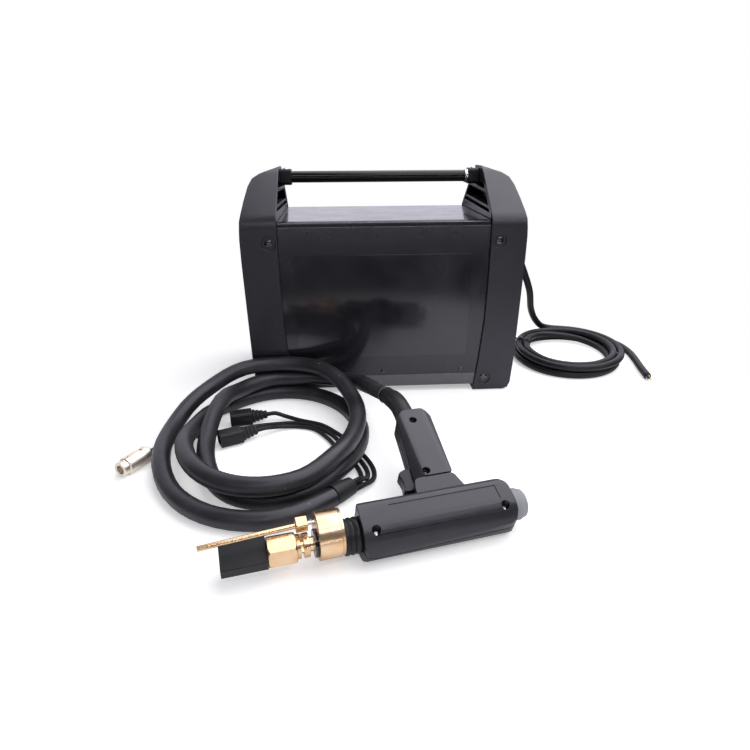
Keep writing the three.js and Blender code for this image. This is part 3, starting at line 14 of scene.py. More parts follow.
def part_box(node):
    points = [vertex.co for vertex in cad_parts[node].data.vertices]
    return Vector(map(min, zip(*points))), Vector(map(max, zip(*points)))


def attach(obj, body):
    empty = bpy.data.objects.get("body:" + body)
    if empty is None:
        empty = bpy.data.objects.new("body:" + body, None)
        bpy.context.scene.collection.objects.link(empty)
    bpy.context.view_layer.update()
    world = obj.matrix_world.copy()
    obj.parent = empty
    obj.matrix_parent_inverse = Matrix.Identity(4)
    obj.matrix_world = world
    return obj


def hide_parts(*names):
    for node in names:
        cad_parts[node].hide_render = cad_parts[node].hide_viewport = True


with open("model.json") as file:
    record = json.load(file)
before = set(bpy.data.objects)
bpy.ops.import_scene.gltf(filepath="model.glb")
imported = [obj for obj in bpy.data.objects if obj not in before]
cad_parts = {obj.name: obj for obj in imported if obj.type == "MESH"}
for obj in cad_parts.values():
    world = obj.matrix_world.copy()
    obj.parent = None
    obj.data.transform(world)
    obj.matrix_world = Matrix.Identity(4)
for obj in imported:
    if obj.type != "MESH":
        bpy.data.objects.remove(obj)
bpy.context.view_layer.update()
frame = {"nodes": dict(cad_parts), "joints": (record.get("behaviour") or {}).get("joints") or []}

# Camera and the unit's place
# The camera stands in front of the viewed side, a little left of the middle, and looks down
# on the unit. The unit's end cap in the frame gives the unit's origin.
UNIT_LENGTH = 0.450
UNIT_WIDTH = 0.240
cap_low, cap_high = (Vector(corner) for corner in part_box("rear_cap"))
unit_origin = Vector((cap_high.x - UNIT_LENGTH / 2, cap_low.y, 0.0))

EYE = Vector((-0.0707, -0.8983, 0.4027))
EYE_YAW = 0.0595
EYE_PITCH = 0.3898
EYE_ROLL = -0.0046
FOCAL_PIXELS = 570.55
PICTURE_PIXELS = 750.0
SENSOR = 36.0
NEAREST_SEEN = 0.01


def scene_object(name, data):
    """Object with this data, linked into the scene."""
    thing = bpy.data.objects.new(name, data)
    bpy.context.scene.collection.objects.link(thing)
    return thing


forward = Vector((
    math.sin(EYE_YAW) * math.cos(EYE_PITCH),
    math.cos(EYE_YAW) * math.cos(EYE_PITCH),
    -math.sin(EYE_PITCH),
))
level = Vector((math.cos(EYE_YAW), -math.sin(EYE_YAW), 0.0))
upward = level.cross(forward)
right = math.cos(EYE_ROLL) * level + math.sin(EYE_ROLL) * upward
above = math.cos(EYE_ROLL) * upward - math.sin(EYE_ROLL) * level
camera_data = bpy.data.cameras.new("camera")
camera_data.sensor_width = SENSOR
camera_data.lens = FOCAL_PIXELS / PICTURE_PIXELS * SENSOR
camera_data.clip_start = NEAREST_SEEN
camera = scene_object("camera", camera_data)
camera.matrix_world = Matrix.Translation(unit_origin + EYE) @ Matrix(
    (right, above, -forward)).transposed().to_4x4()
bpy.context.scene.camera = camera

# Gun cable and the leads that it parts into
# A thick, matte rubber sheath over the welding core and the trigger wires. It leaves the boot
# of the grip, comes down to the unit's foot and lies in loose loops, pile on pile.
CABLE_DIAMETER = 0.024
CABLE_THIN_END = 0.0205
CABLE_SWELL_SHARE = 0.35
REST_GAP = 0.0003
LAYER_GAP = 0.0014
CABLE_LAYER = CABLE_DIAMETER + LAYER_GAP
CABLE_MIDDLE = (-0.170, -0.172)
CABLE_FAR = -(CABLE_DIAMETER / 2 + REST_GAP)
CABLE_LOOPS = [
    {"left": -0.262, "near": -0.326, "right": -0.048},
    {"left": -0.289, "near": -0.337, "right": -0.052},
    {"left": -0.320, "near": -0.366, "right": -0.042},
]
CABLE_TURNS = 62 / 24
CABLE_HEIGHTS = [
    (0, 1), (0.16, 1), (0.3, 0), (1.2, 0), (1.38, 1), (1.72, 1), (1.92, 2), (2.05, 2),
    (2.25, 0), (CABLE_TURNS, 0),
]
LEAD_DIAMETER = 0.0065
LEAD_GAP = 0.0009
LEAD_CLEARANCE = LEAD_DIAMETER + LEAD_GAP
LEAD_CROSSINGS = [0.24, 0.69, 1.24, 1.69, 2.24]
CABLE_RUN = [
    (-0.0141, -0.1858, 0.07995), (-0.0250, -0.1500, 0.0720), (-0.0350, -0.1060, 0.0600),
    (-0.0540, -0.0550, 0.0470), (-0.0820, -0.0270, 0.0386), (-0.1120, -0.0140, 0.0374),
    (-0.1280, CABLE_FAR, 0.0374), (-0.1457, CABLE_FAR, 0.0374),
]
CABLE_STRAIGHT = 0.024
LEAD_FLOOR = LEAD_DIAMETER / 2 + REST_GAP
LEAD_1 = [
    (-0.0671, -0.2999, 0.0085), (-0.0593, -0.2930, 0.0082), (-0.0525, -0.2810, 0.0046),
    (-0.0520, -0.2640, LEAD_FLOOR), (-0.0580, -0.2420, LEAD_FLOOR), (-0.0710, -0.2160, LEAD_FLOOR),
    (-0.0843, -0.1908, LEAD_FLOOR), (-0.0960, -0.1650, LEAD_FLOOR), (-0.1180, -0.1340, LEAD_FLOOR),
    (-0.1430, -0.1245, LEAD_FLOOR), (-0.1660, -0.1280, 0.0060), (-0.1865, -0.1419, 0.0120),
    (-0.1985, -0.1479, 0.0120),
]
LEAD_2 = [
    (-0.0611, -0.3067, 0.0085), (-0.0511, -0.2980, 0.0082), (-0.0370, -0.2790, 0.0046),
    (-0.0345, -0.2580, LEAD_FLOOR), (-0.0410, -0.2300, LEAD_FLOOR), (-0.0540, -0.2020, LEAD_FLOOR),
    (-0.0720, -0.1670, LEAD_FLOOR), (-0.0850, -0.1470, LEAD_FLOOR), (-0.1060, -0.1220, LEAD_FLOOR),
    (-0.1400, -0.1035, LEAD_FLOOR), (-0.1630, -0.0945, 0.0070), (-0.1780, -0.0934, 0.0120),
    (-0.1898, -0.0962, 0.0120),
]
BRASS_LEAD = [
    (-0.0641, -0.3033, 0.0165), (-0.0554, -0.2957, 0.0162), (-0.0450, -0.2810, 0.0085),
    (-0.0432, -0.2600, 0.0041), (-0.0495, -0.2350, LEAD_FLOOR), (-0.0625, -0.2080, LEAD_FLOOR),
    (-0.0785, -0.1770, LEAD_FLOOR), (-0.0920, -0.1520, LEAD_FLOOR), (-0.1140, -0.1280, LEAD_FLOOR),
    (-0.1450, -0.1135, LEAD_FLOOR), (-0.2000, -0.1180, LEAD_FLOOR), (-0.2400, -0.1330, LEAD_FLOOR),
    (-0.2850, -0.1450, LEAD_FLOOR), (-0.3090, -0.1530, 0.0037), (-0.3250, -0.1680, 0.0038),
    (-0.3315, -0.1840, 0.0078), (-0.3333, -0.1962, 0.0120), (-0.3370, -0.2030, 0.0120),
]
LIFT_FOOT = 0.13
LIFT_TOP = 0.05
LOOP_STEPS = 60
ROUNDING = 1e-9
RUN_STEP = 0.006
LEAD_STEP = 0.003
CORD_ROUNDNESS = 6
cable_lifts = [(-1, 0)]
for crossing in LEAD_CROSSINGS:
    cable_lifts += [(crossing + turn, lift) for turn, lift in (
        (-LIFT_FOOT, 0), (-LIFT_TOP, 1), (LIFT_TOP, 1), (LIFT_FOOT, 0))]
cable_lifts.append((CABLE_TURNS, 0))


def eased(marks, at):
    """Height at a phase, eased from one listed mark to the next."""
    low, high = marks[-2], marks[-1]
    for first, second in zip(marks, marks[1:]):
        if at <= second[0]:
            low, high = first, second
            break
    share = min(1.0, max(0.0, (at - low[0]) / (high[0] - low[0])))
    return low[1] + (high[1] - low[1]) * share * share * (3 - 2 * share)


def smooth_line(points, step):
    """Points about a step apart on a centripetal curve through the listed ones."""
    given = [Vector(p) for p in points]
    given = [2 * given[0] - given[1]] + given + [2 * given[-1] - given[-2]]
    line = []
    for a, b, c, d in zip(given, given[1:], given[2:], given[3:]):
        t1 = math.sqrt((b - a).length)
        t2 = t1 + math.sqrt((c - b).length)
        t3 = t2 + math.sqrt((d - c).length)
        count = max(2, math.ceil((c - b).length / step))
        for i in range(count):
            t = t1 + (t2 - t1) * i / count
            ab = a.lerp(b, t / t1)
            bc = b.lerp(c, (t - t1) / (t2 - t1))
            cd = c.lerp(d, (t - t2) / (t3 - t2))
            abc = ab.lerp(bc, t / t2)
            bcd = bc.lerp(cd, (t - t1) / (t3 - t1))
            line.append(abc.lerp(bcd, (t - t1) / (t2 - t1)))
    line.append(given[-2])
    return line


def line_length(line):
    """Length along the points of a line."""
    return sum((b - a).length for a, b in zip(line, line[1:]))


def cable_loop_points():
    """Loops of the gun cable, by phase: far, left, near, right."""
    points = []
    for i in range(round(CABLE_TURNS * LOOP_STEPS) + 1):
        at = i / LOOP_STEPS
        loop = CABLE_LOOPS[min(len(CABLE_LOOPS) - 1, int(at + ROUNDING))]
        across = math.sin(at * 2 * math.pi)
        along = math.cos(at * 2 * math.pi)
        side = CABLE_MIDDLE[0] - loop["left"] if across > 0 else loop["right"] - CABLE_MIDDLE[0]
        reach = CABLE_FAR - CABLE_MIDDLE[1] if along > 0 else CABLE_MIDDLE[1] - loop["near"]
        height = CABLE_LAYER * eased(CABLE_HEIGHTS, at) + LEAD_CLEARANCE * eased(cable_lifts, at)
        points.append(Vector((
            CABLE_MIDDLE[0] - across * side,
            CABLE_MIDDLE[1] + along * reach,
            CABLE_DIAMETER / 2 + height,
        )))
    last_way = points[-1] - points[-2]
    last_way.z = 0
    return points, last_way.normalized()


def cord_piece(name, line, diameter, material, slot_name, *nodes, shares=()):
    """Curve with a round section along the line, moved from the unit's frame to the world.

    The shares, one for each point, say how much of the diameter the cord has there.
    """
    data = bpy.data.curves.new(name, "CURVE")
    data.dimensions = "3D"
    data.bevel_depth = diameter / 2
    data.bevel_resolution = CORD_ROUNDNESS
    data.use_fill_caps = True
    spline = data.splines.new("POLY")
    spline.points.add(len(line) - 1)
    for point, place in zip(spline.points, line):
        point.co = (*(place + unit_origin), 1.0)
    for point, share in zip(spline.points, shares):
        point.radius = share
    spline.use_smooth = True
    data.materials.append(material)
    piece = scene_object(name, data)
    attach(piece, "root")
    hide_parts(*nodes)
    return piece


SURFACE = {"Color": "Color", "Roughness": "Float", "Height": "Float"}


def named_tree(name, tree_kind, inputs, outputs):
    """Tree with named sockets of their kinds; returned with what is given and its end."""
    tree = bpy.data.node_groups.new(name, tree_kind)
    for way, sockets in (("INPUT", inputs), ("OUTPUT", outputs)):
        for label, kind in sockets.items():
            tree.interface.new_socket(label, in_out=way, socket_type="NodeSocket" + kind)
    return tree, tree.nodes.new("NodeGroupInput").outputs, tree.nodes.new("NodeGroupOutput")


def feed(tree, node, values):
    """Set inputs of a node; a value that is a socket is linked."""
    for label, value in values.items():
        if isinstance(value, bpy.types.NodeSocket):
            tree.links.new(value, node.inputs[label])
        else:
            node.inputs[label].default_value = value


def tree_node(tree, kind, values=None, **settings):
    """New node with its settings; its inputs are fed the values."""
    node = tree.nodes.new(kind)
    for label, value in settings.items():
        setattr(node, label, value)
    feed(tree, node, values or {})
    return node


def noise_field(tree, place, scale, detail, distortion=0.0):
    """Noise over a place; the scale is a number or a socket."""
    return tree_node(tree, "ShaderNodeTexNoise", {
        "Vector": place, "Scale": scale, "Detail": detail, "Distortion": distortion,
    }).outputs["Fac"]


def spread(tree, value, low, high, to_low=0.0, to_high=1.0, **settings):
    """A value's range from low to high spread over another range."""
    return tree_node(tree, "ShaderNodeMapRange", {
        "Value": value, "From Min": low, "From Max": high, "To Min": to_low, "To Max": to_high,
    }, **settings).outputs["Result"]


def worked_out(tree, operation, *values):
    """Result of one math operation on numbers and sockets."""
    return tree_node(tree, "ShaderNodeMath", dict(enumerate(values)), operation=operation).outputs["Value"]


def between_colours(tree, share, first, second):
    """Colour that goes from the first to the second by the share."""
    return tree_node(tree, "ShaderNodeMix", {"Factor": share, "A": first, "B": second},
                     data_type="RGBA").outputs["Result"]


def skin_group():
    """Skin of moulded plastic, paint and rubber: fine grain, slow mottling and dust specks."""
    tree, given, result = named_tree("moulded_skin", "ShaderNodeTree", {
        "Base": "Color", "Worn": "Color", "Grain Scale": "Float", "Rough Low": "Float",
        "Rough High": "Float", "Dust": "Float", "Creases": "Float",
    }, SURFACE)
    place = tree_node(tree, "ShaderNodeTexCoord").outputs["Object"]
    grain = noise_field(tree, place, given["Grain Scale"], 3.0)
    slow = noise_field(tree, place, 22.0, 5.0)
    specks = noise_field(tree, place, 210.0, 1.0)
    folds = noise_field(tree, place, 55.0, 2.0, 0.8)
    tone = between_colours(tree, spread(tree, slow, 0.35, 0.75), given["Base"], given["Worn"])
    dust = worked_out(tree, "MULTIPLY", spread(tree, specks, 0.785, 0.81), given["Dust"])
    feed(tree, result, {
        "Color": between_colours(tree, dust, tone, (0.42, 0.41, 0.40, 1)),
        "Roughness": spread(tree, slow, 0.3, 0.7, given["Rough Low"], given["Rough High"]),
        "Height": worked_out(tree, "MULTIPLY_ADD", folds, given["Creases"], grain),
    })
    return tree


def surface_material(name, group, values, bump, depth):
    """Material whose group gives colour, roughness and relief; returned with its shader."""
    material = bpy.data.materials.new(name)
    material.use_nodes = True
    tree = material.node_tree
    shader = tree.nodes["Principled BSDF"]
    surface = tree_node(tree, "ShaderNodeGroup", values, node_tree=group).outputs
    relief = tree_node(tree, "ShaderNodeBump", {
        "Strength": bump, "Distance": depth, "Height": surface["Height"]})
    feed(tree, shader, {
        "Base Color": surface["Color"], "Roughness": surface["Roughness"],
        "Normal": relief.outputs["Normal"],
    })
    return material, shader


SKIN_RELIEF = 0.0003
moulded_skin = skin_group()


def skin_material(name, base, worn, grain, rough, bump, dust=0.0, creases=0.0, coat=0.0, level=0.3):
    """Material of one moulded or painted finish; the group gives what varies over it."""
    material, shader = surface_material(name, moulded_skin, {
        "Base": (*base, 1), "Worn": (*worn, 1), "Grain Scale": grain,
        "Rough Low": rough[0], "Rough High": rough[1], "Dust": dust, "Creases": creases,
    }, bump, SKIN_RELIEF)
    shader.inputs["Coat Weight"].default_value = coat
    shader.inputs["Coat Roughness"].default_value = 0.08
    shader.inputs["Specular IOR Level"].default_value = level
    shader.inputs["Specular Tint"].default_value = (0.88, 0.88, 1.0, 1)
    return material


ROUND_ROOM = 2.6
CREASE = math.radians(32)
FLAT = math.radians(0.6)
LONG_EDGE = 0.03
LEAST_ROUND = 0.00005
SAME_CORNER = 2e-6
PLAIN_EDGE = 0.0005


def weigh_edges(shape, edge, wide):
    """Bevel weights of the sharp edges: wide on long ones, less on a thin wall or a short edge."""
    top = max(edge, wide)
    weight = shape.edges.layers.float.new("bevel_weight_edge")
    sharp = [e for e in shape.edges if e.is_manifold and e.calc_face_angle(0) > CREASE]
    for e in sharp:
        room = min(face.calc_area() for face in e.link_faces) / e.calc_length()
        full = wide if wide and e.calc_length() > LONG_EDGE else edge
        e[weight] = min(full, room / ROUND_ROOM) / top
    for e in sharp:
        length = e.calc_length()
        along = (e.verts[1].co - e.verts[0].co) / length
        for corner in e.verts:
            for other in corner.link_edges:
                if other is e or not other[weight]:
                    continue
                way = (other.verts[1].co - other.verts[0].co).normalized()
                if abs(along.dot(way)) < math.cos(CREASE):
                    other[weight] = min(other[weight], max(LEAST_ROUND, length / ROUND_ROOM) / top)


def mesh_of(shape, name, material):
    """Mesh of a worked shape, which is freed."""
    mesh = bpy.data.meshes.new(name)
    shape.to_mesh(mesh)
    shape.free()
    mesh.materials.append(material)
    return mesh


def rounded_copy(name, node, material, body="root", edge=PLAIN_EDGE, steps=2, wide=0.0):
    """Piece that stands for a CAD node: its shape with merged corners and rounded edges."""
    shape = bmesh.new()
    shape.from_mesh(frame["nodes"][node].data)
    bmesh.ops.remove_doubles(shape, verts=shape.verts, dist=SAME_CORNER)
    bmesh.ops.dissolve_limit(shape, angle_limit=FLAT, verts=shape.verts, edges=shape.edges)
    weigh_edges(shape, edge, wide)
    mesh = mesh_of(shape, name, material)
    mesh.shade_smooth()
    piece = scene_object(name, mesh)
    bevel = piece.modifiers.new("rounded_edges", "BEVEL")
    bevel.limit_method = "WEIGHT"
    bevel.width = max(edge, wide)
    bevel.segments = steps
    bevel.use_clamp_overlap = False
    level_faces = piece.modifiers.new("level_faces", "WEIGHTED_NORMAL")
    level_faces.mode = "FACE_AREA"
    level_faces.weight = 100
    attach(piece, body)
    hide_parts(node)
    return piece


def join_rings(shape, rings):
    """Faces between the rings in turn and over both ends, all facing outwards."""
    for first, second in zip(rings, rings[1:]):
        for i in range(len(first)):
            j = (i + 1) % len(first)
            shape.faces.new((first[i], first[j], second[j], second[i]))
    shape.faces.new(rings[0])
    shape.faces.new(rings[-1])
    bmesh.ops.recalc_face_normals(shape, faces=shape.faces)


def turned_part(name, profile, place, way, material, sides=32):
    """Lathe part: the profile lists (distance along the way, radius), closed at both ends."""
    ahead = Vector(way).normalized()
    turn = ahead.to_track_quat("Z", "Y").to_matrix()
    shape = bmesh.new()
    rings = []
    for along, radius in profile:
        middle = Vector(place) + ahead * along
        angles = [2 * math.pi * i / sides for i in range(sides)]
        rings.append([
            shape.verts.new(middle + turn @ Vector((radius * math.cos(a), radius * math.sin(a), 0)))
            for a in angles
        ])
    join_rings(shape, rings)
    mesh = mesh_of(shape, name, material)
    mesh.shade_smooth()
    mesh.set_sharp_from_angle(angle=CREASE)
    piece = scene_object(name, mesh)
    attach(piece, "root")
    return piece


cable_rubber = skin_material("cable_rubber", (0.015, 0.015, 0.017), (0.036, 0.036, 0.040),
                             700.0, (0.34, 0.50), 0.30, dust=0.7, creases=3.0, level=0.55)
lead_rubber = skin_material(
    "lead_rubber", (0.012, 0.012, 0.013), (0.024, 0.024, 0.026), 900.0, (0.35, 0.5), 0.2, dust=0.2)
loops, cable_way = cable_loop_points()
cable_end = loops[-1] + cable_way * CABLE_STRAIGHT
run_line = smooth_line(CABLE_RUN, RUN_STEP)
loop_start = Vector((CABLE_MIDDLE[0] + CABLE_STRAIGHT / 2, CABLE_FAR, CABLE_RUN[-1][2]))
cable_line = run_line + [loop_start] + loops + [loops[-1] + cable_way * CABLE_STRAIGHT / 2, cable_end]
swell_length = line_length(run_line) * CABLE_SWELL_SHARE
thin = CABLE_THIN_END / CABLE_DIAMETER
shares = [thin]
gone = 0.0
for before, after in zip(cable_line, cable_line[1:]):
    gone += (after - before).length
    shares.append(thin + (1 - thin) * min(1.0, gone / swell_length))
gun_cable = cord_piece("gun_cable", cable_line, CABLE_DIAMETER, cable_rubber, "cord_rubber",
                       "gun_cable_run", "gun_cable_coil", shares=shares)
lead_lines = {}
for name, node, points in (("control_cord_1", "control_lead_1", LEAD_1),
                           ("control_cord_2", "control_lead_2", LEAD_2),
                           ("brass_plug_cord", "brass_lead", BRASS_LEAD)):
    lead_lines[name] = smooth_line(points, LEAD_STEP)
    cord_piece(name, lead_lines[name], LEAD_DIAMETER, lead_rubber,
                                   "lead_rubber", node)

# Breakout boot and the plugs on the leads
# The cable ends in a moulded rubber boot where it parts. Two leads carry black plugs with a
# ribbed sleeve and a box body, and the third a plug in a pale metal sleeve with a steel tip.
plug_plastic = skin_material(
    "plug_plastic", (0.011, 0.011, 0.012), (0.026, 0.026, 0.028), 1100.0, (0.30, 0.46), 0.35, dust=0.25)
boot_rubber = skin_material(
    "boot_rubber", (0.017, 0.017, 0.018), (0.034, 0.034, 0.036), 800.0, (0.38, 0.52), 0.25, dust=0.15)
pale_ring = skin_material(
    "pale_ring", (0.20, 0.20, 0.21), (0.28, 0.28, 0.29), 500.0, (0.35, 0.5), 0.1)


METAL_RELIEF = 0.0002


def metal_group():
    """Worked metal: drawn or turned marks along one direction and slow tarnish."""
    tree, given, result = named_tree("worked_metal", "ShaderNodeTree", {
        "Base": "Color", "Tarnish": "Color", "Mark Scale": "Float", "Stretch": "Vector",
        "Rough Low": "Float", "Rough High": "Float",
    }, SURFACE)
    place = tree_node(tree, "ShaderNodeTexCoord").outputs["Object"]
    drawn = tree_node(tree, "ShaderNodeVectorMath", {0: place, 1: given["Stretch"]}, operation="MULTIPLY")
    marks = noise_field(tree, drawn.outputs["Vector"], given["Mark Scale"], 4.0)
    tarnish = spread(tree, noise_field(tree, place, 60.0, 6.0), 0.42, 0.72)
    feed(tree, result, {
        "Color": between_colours(tree, tarnish, given["Base"], given["Tarnish"]),
        "Roughness": spread(tree, marks, 0.3, 0.7, given["Rough Low"], given["Rough High"]),
        "Height": marks,
    })
    return tree


worked_metal = metal_group()


def metal_material(name, base, tarnish, marks, stretch, rough, bump):
    """Bare metal of one colour; the group gives its marks and tarnish."""
    material, shader = surface_material(name, worked_metal, {
        "Base": (*base, 1), "Tarnish": (*tarnish, 1), "Mark Scale": marks, "Stretch": stretch,
        "Rough Low": rough[0], "Rough High": rough[1],
    }, bump, METAL_RELIEF)
    shader.inputs["Metallic"].default_value = 1.0
    return material


pale_sleeve = metal_material(
    "pale_sleeve", (0.93, 0.86, 0.76), (0.78, 0.68, 0.56), 700.0, (1, 1, 1), (0.34, 0.5), 0.35)
breakout_boot = rounded_copy("breakout_boot", "cable_breakout", boot_rubber,
                             edge=0.001, steps=3)
lead_plugs = {
    "control_cord_1": rounded_copy("control_plug_body_1", "control_plug_1", plug_plastic),
    "control_cord_2": rounded_copy("control_plug_body_2", "control_plug_2", plug_plastic),
    "brass_plug_cord": rounded_copy("pale_plug_body", "brass_plug", pale_sleeve),
}
rounded_copy("grip_boot", "gun_boot", boot_rubber, edge=0.0006)
BOOT_RING_RADIUS = 0.0119
BOOT_RING_WIDTH = 0.0012
BOOT_RING_EDGE = 0.0002
BOOT_RING_SETBACK = 0.0035
run_way = (run_line[0] - run_line[1]).normalized()
turned_part("boot_ring", [
    (-BOOT_RING_WIDTH / 2, BOOT_RING_RADIUS - BOOT_RING_EDGE), (-BOOT_RING_WIDTH / 4, BOOT_RING_RADIUS),
    (BOOT_RING_WIDTH / 4, BOOT_RING_RADIUS), (BOOT_RING_WIDTH / 2, BOOT_RING_RADIUS - BOOT_RING_EDGE),
], run_line[0] + unit_origin + run_way * BOOT_RING_SETBACK, run_way, pale_ring)

# Mains cord
# A round rubber cord from the gland, laid in a tied coil of four turns beside the unit, with a
# tail whose end is stripped for a plug of the buyer's own.
MAINS_DIAMETER = 0.013
MAINS_GAP = 0.0008
MAINS_LAYER = MAINS_DIAMETER + MAINS_GAP
COIL_MIDDLE = (0.375, 0.150)
COIL_LONG = 0.122
COIL_SHORT = 0.104
COIL_HEADING = math.radians(71.6)
COIL_TURNS = 4
TIE_BAND = 0.0016
TIE_LIFT = TIE_BAND + 3 * REST_GAP
MAINS_HEIGHTS = [(0, 1), (1.75, 1), (2.25, 0), (COIL_TURNS, 0)]
MAINS_LIFTS = [(-1, 0), (0.55, 0), (0.7, 1), (0.8, 1), (0.95, 0), (1, 0)]
MAINS_RUN = [
    (0.2360, 0.1840, 0.2050), (0.2490, 0.1840, 0.2050), (0.2630, 0.1860, 0.1990),
    (0.2780, 0.1900, 0.1820), (0.2910, 0.1950, 0.1570), (0.3060, 0.2030, 0.1230),
    (0.3220, 0.2300, 0.0780), (0.3440, 0.2580, 0.0450), (0.3660, 0.2735, 0.0255),
    (0.3886, 0.2741, 0.0203), (0.4009, 0.2700, 0.0203),
]
MAINS_TAIL = [
    (0.4261, 0.2616, 0.0065), (0.4384, 0.2575, 0.0065), (0.4560, 0.2510, 0.0065),
    (0.4740, 0.2410, 0.0065), (0.4910, 0.2220, 0.0065), (0.5030, 0.1900, 0.0065),
    (0.5040, 0.1500, 0.0065), (0.4970, 0.1100, 0.0065), (0.4870, 0.0680, 0.0065),
    (0.4780, 0.0240, 0.0065),
]
MAINS_STEP = 0.005
CORE_RADIUS = 0.0017
CORE_LENGTH = 0.0085
CORE_EDGE = 0.0003
CORE_START = 0.002
CORE_SPREAD_SHARE = 0.16
WIRE_RADIUS = 0.0011
WIRE_LENGTH = 0.0055
WIRE_START = 0.001
mains_rubber = skin_material(
    "mains_rubber", (0.010, 0.010, 0.011), (0.020, 0.020, 0.021), 900.0, (0.34, 0.5), 0.15, dust=0.12)
tie_nylon = skin_material(
    "tie_nylon", (0.012, 0.012, 0.013), (0.022, 0.022, 0.023), 1200.0, (0.3, 0.42), 0.1)
copper = metal_material(
    "copper", (0.86, 0.48, 0.30), (0.62, 0.32, 0.19), 900.0, (1, 1, 1), (0.25, 0.42), 0.3)
long_way = Vector((math.cos(COIL_HEADING), math.sin(COIL_HEADING)))
short_way = Vector((long_way.y, -long_way.x))


def mains_loop_points():
    """Coil of two layers that spirals in on top and out again on the floor."""
    points = []
    for i in range(COIL_TURNS * LOOP_STEPS + 1):
        at = i / LOOP_STEPS
        inset = MAINS_LAYER * min(at, COIL_TURNS - at)
        plan = (Vector(COIL_MIDDLE)
                + math.cos(at * 2 * math.pi) * (COIL_LONG - inset) * long_way
                + math.sin(at * 2 * math.pi) * (COIL_SHORT - inset) * short_way)
        height = MAINS_LAYER * eased(MAINS_HEIGHTS, at) + TIE_LIFT * eased(MAINS_LIFTS, at % 1)
        points.append(Vector((plan.x, plan.y, MAINS_DIAMETER / 2 + height)))
    return points


mains_line = (smooth_line(MAINS_RUN, MAINS_STEP) + mains_loop_points()
              + smooth_line(MAINS_TAIL, MAINS_STEP))
mains_cord = cord_piece("mains_cord", mains_line, MAINS_DIAMETER, mains_rubber, "mains_rubber",
                        "mains_run", "mains_coil", "mains_tail")
tail_way = (mains_line[-1] - mains_line[-2]).normalized()
core_colours = {"brown": (0.17, 0.07, 0.03), "blue": (0.05, 0.16, 0.42), "green": (0.10, 0.38, 0.08)}
for i, (colour, base) in enumerate(core_colours.items()):
    turn = i / len(core_colours) * 2 * math.pi + math.pi / 2
    aside = Vector((0, 0, 1)).cross(tail_way) * math.cos(turn) + Vector((0, 0, 1)) * math.sin(turn)
    start = mains_line[-1] + unit_origin + aside * CORE_RADIUS * 1.25 - tail_way * CORE_START
    core_material = skin_material(f"{colour}_core", base, [1.3 * part for part in base],
                                  900.0, (0.35, 0.45), 0.1)
    spread_way = (tail_way + aside * CORE_SPREAD_SHARE).normalized()
    turned_part(f"core_{colour}", [
        (0, CORE_RADIUS), (CORE_LENGTH - CORE_EDGE, CORE_RADIUS), (CORE_LENGTH, CORE_RADIUS * 0.85),
    ], start, spread_way, core_material, sides=16)
    turned_part(f"wire_{colour}", [
        (CORE_LENGTH - WIRE_START, WIRE_RADIUS), (CORE_LENGTH + WIRE_LENGTH * 0.8, WIRE_RADIUS),
        (CORE_LENGTH + WIRE_LENGTH, WIRE_RADIUS * 0.6),
    ], start, spread_way, copper, sides=12)
coil_tie = rounded_copy("coil_tie", "mains_tie", tie_nylon, edge=0.0003)
gland = rounded_copy("gland_and_sleeve", "cord_gland", boot_rubber, edge=0.0004)

# Floor and light
# A plain white table under a large soft lamp, a strip lamp and a low line of light in front.
# The camera sees the table run out to white, and the room behind the camera is dim.
FLOOR_HALF = 6.0
FLOOR_DROP = 0.0004
WHITE_STARTS = 0.42
WHITE_FULL = 0.66


def mixed_shader(tree, share, first, second):
    """Shader node that goes from the first to the second by the share."""
    return tree_node(tree, "ShaderNodeMixShader", {
        "Fac": share, 1: first.outputs[0], 2: second.outputs[0]})


def floor_material():
    """White near the object with its shadow, pure white to the camera far away."""
    material = bpy.data.materials.new("white_table")
    material.use_nodes = True
    tree = material.node_tree
    tree.nodes.remove(tree.nodes["Principled BSDF"])
    place = tree_node(tree, "ShaderNodeTexCoord").outputs["Object"]
    radius = tree_node(tree, "ShaderNodeVectorMath", {0: place}, operation="LENGTH").outputs["Value"]
    far = spread(tree, radius, WHITE_STARTS, WHITE_FULL, interpolation_type="SMOOTHSTEP")
    rays = tree_node(tree, "ShaderNodeLightPath").outputs
    table = tree_node(tree, "ShaderNodeBsdfDiffuse", {"Color": (0.86, 0.86, 0.87, 1)})
    room = tree_node(tree, "ShaderNodeBsdfDiffuse", {"Color": (0.05, 0.05, 0.055, 1)})
    shine = tree_node(tree, "ShaderNodeEmission", {
        "Color": (0.93, 0.93, 1.0, 1),
        "Strength": worked_out(tree, "MULTIPLY", rays["Is Glossy Ray"], 0.15),
    })
    glow = tree_node(tree, "ShaderNodeEmission", {"Strength": 0.42})
    white = tree_node(tree, "ShaderNodeEmission", {"Strength": 1.0})
    mirrored_table, lit_table = (
        tree_node(tree, "ShaderNodeAddShader", {0: table.outputs[0], 1: light.outputs[0]})
        for light in (shine, glow)
    )
    seen = mixed_shader(tree, far, lit_table, white)
    bounced = mixed_shader(tree, far, mirrored_table, room)
    ends = mixed_shader(tree, rays["Is Camera Ray"], bounced, seen)
    feed(tree, tree.nodes["Material Output"], {"Surface": ends.outputs[0]})
    return material


shape = bmesh.new()
bmesh.ops.create_grid(shape, x_segments=1, y_segments=1, size=FLOOR_HALF)
floor = scene_object("floor", mesh_of(shape, "floor", floor_material()))
floor.location.z = -FLOOR_DROP


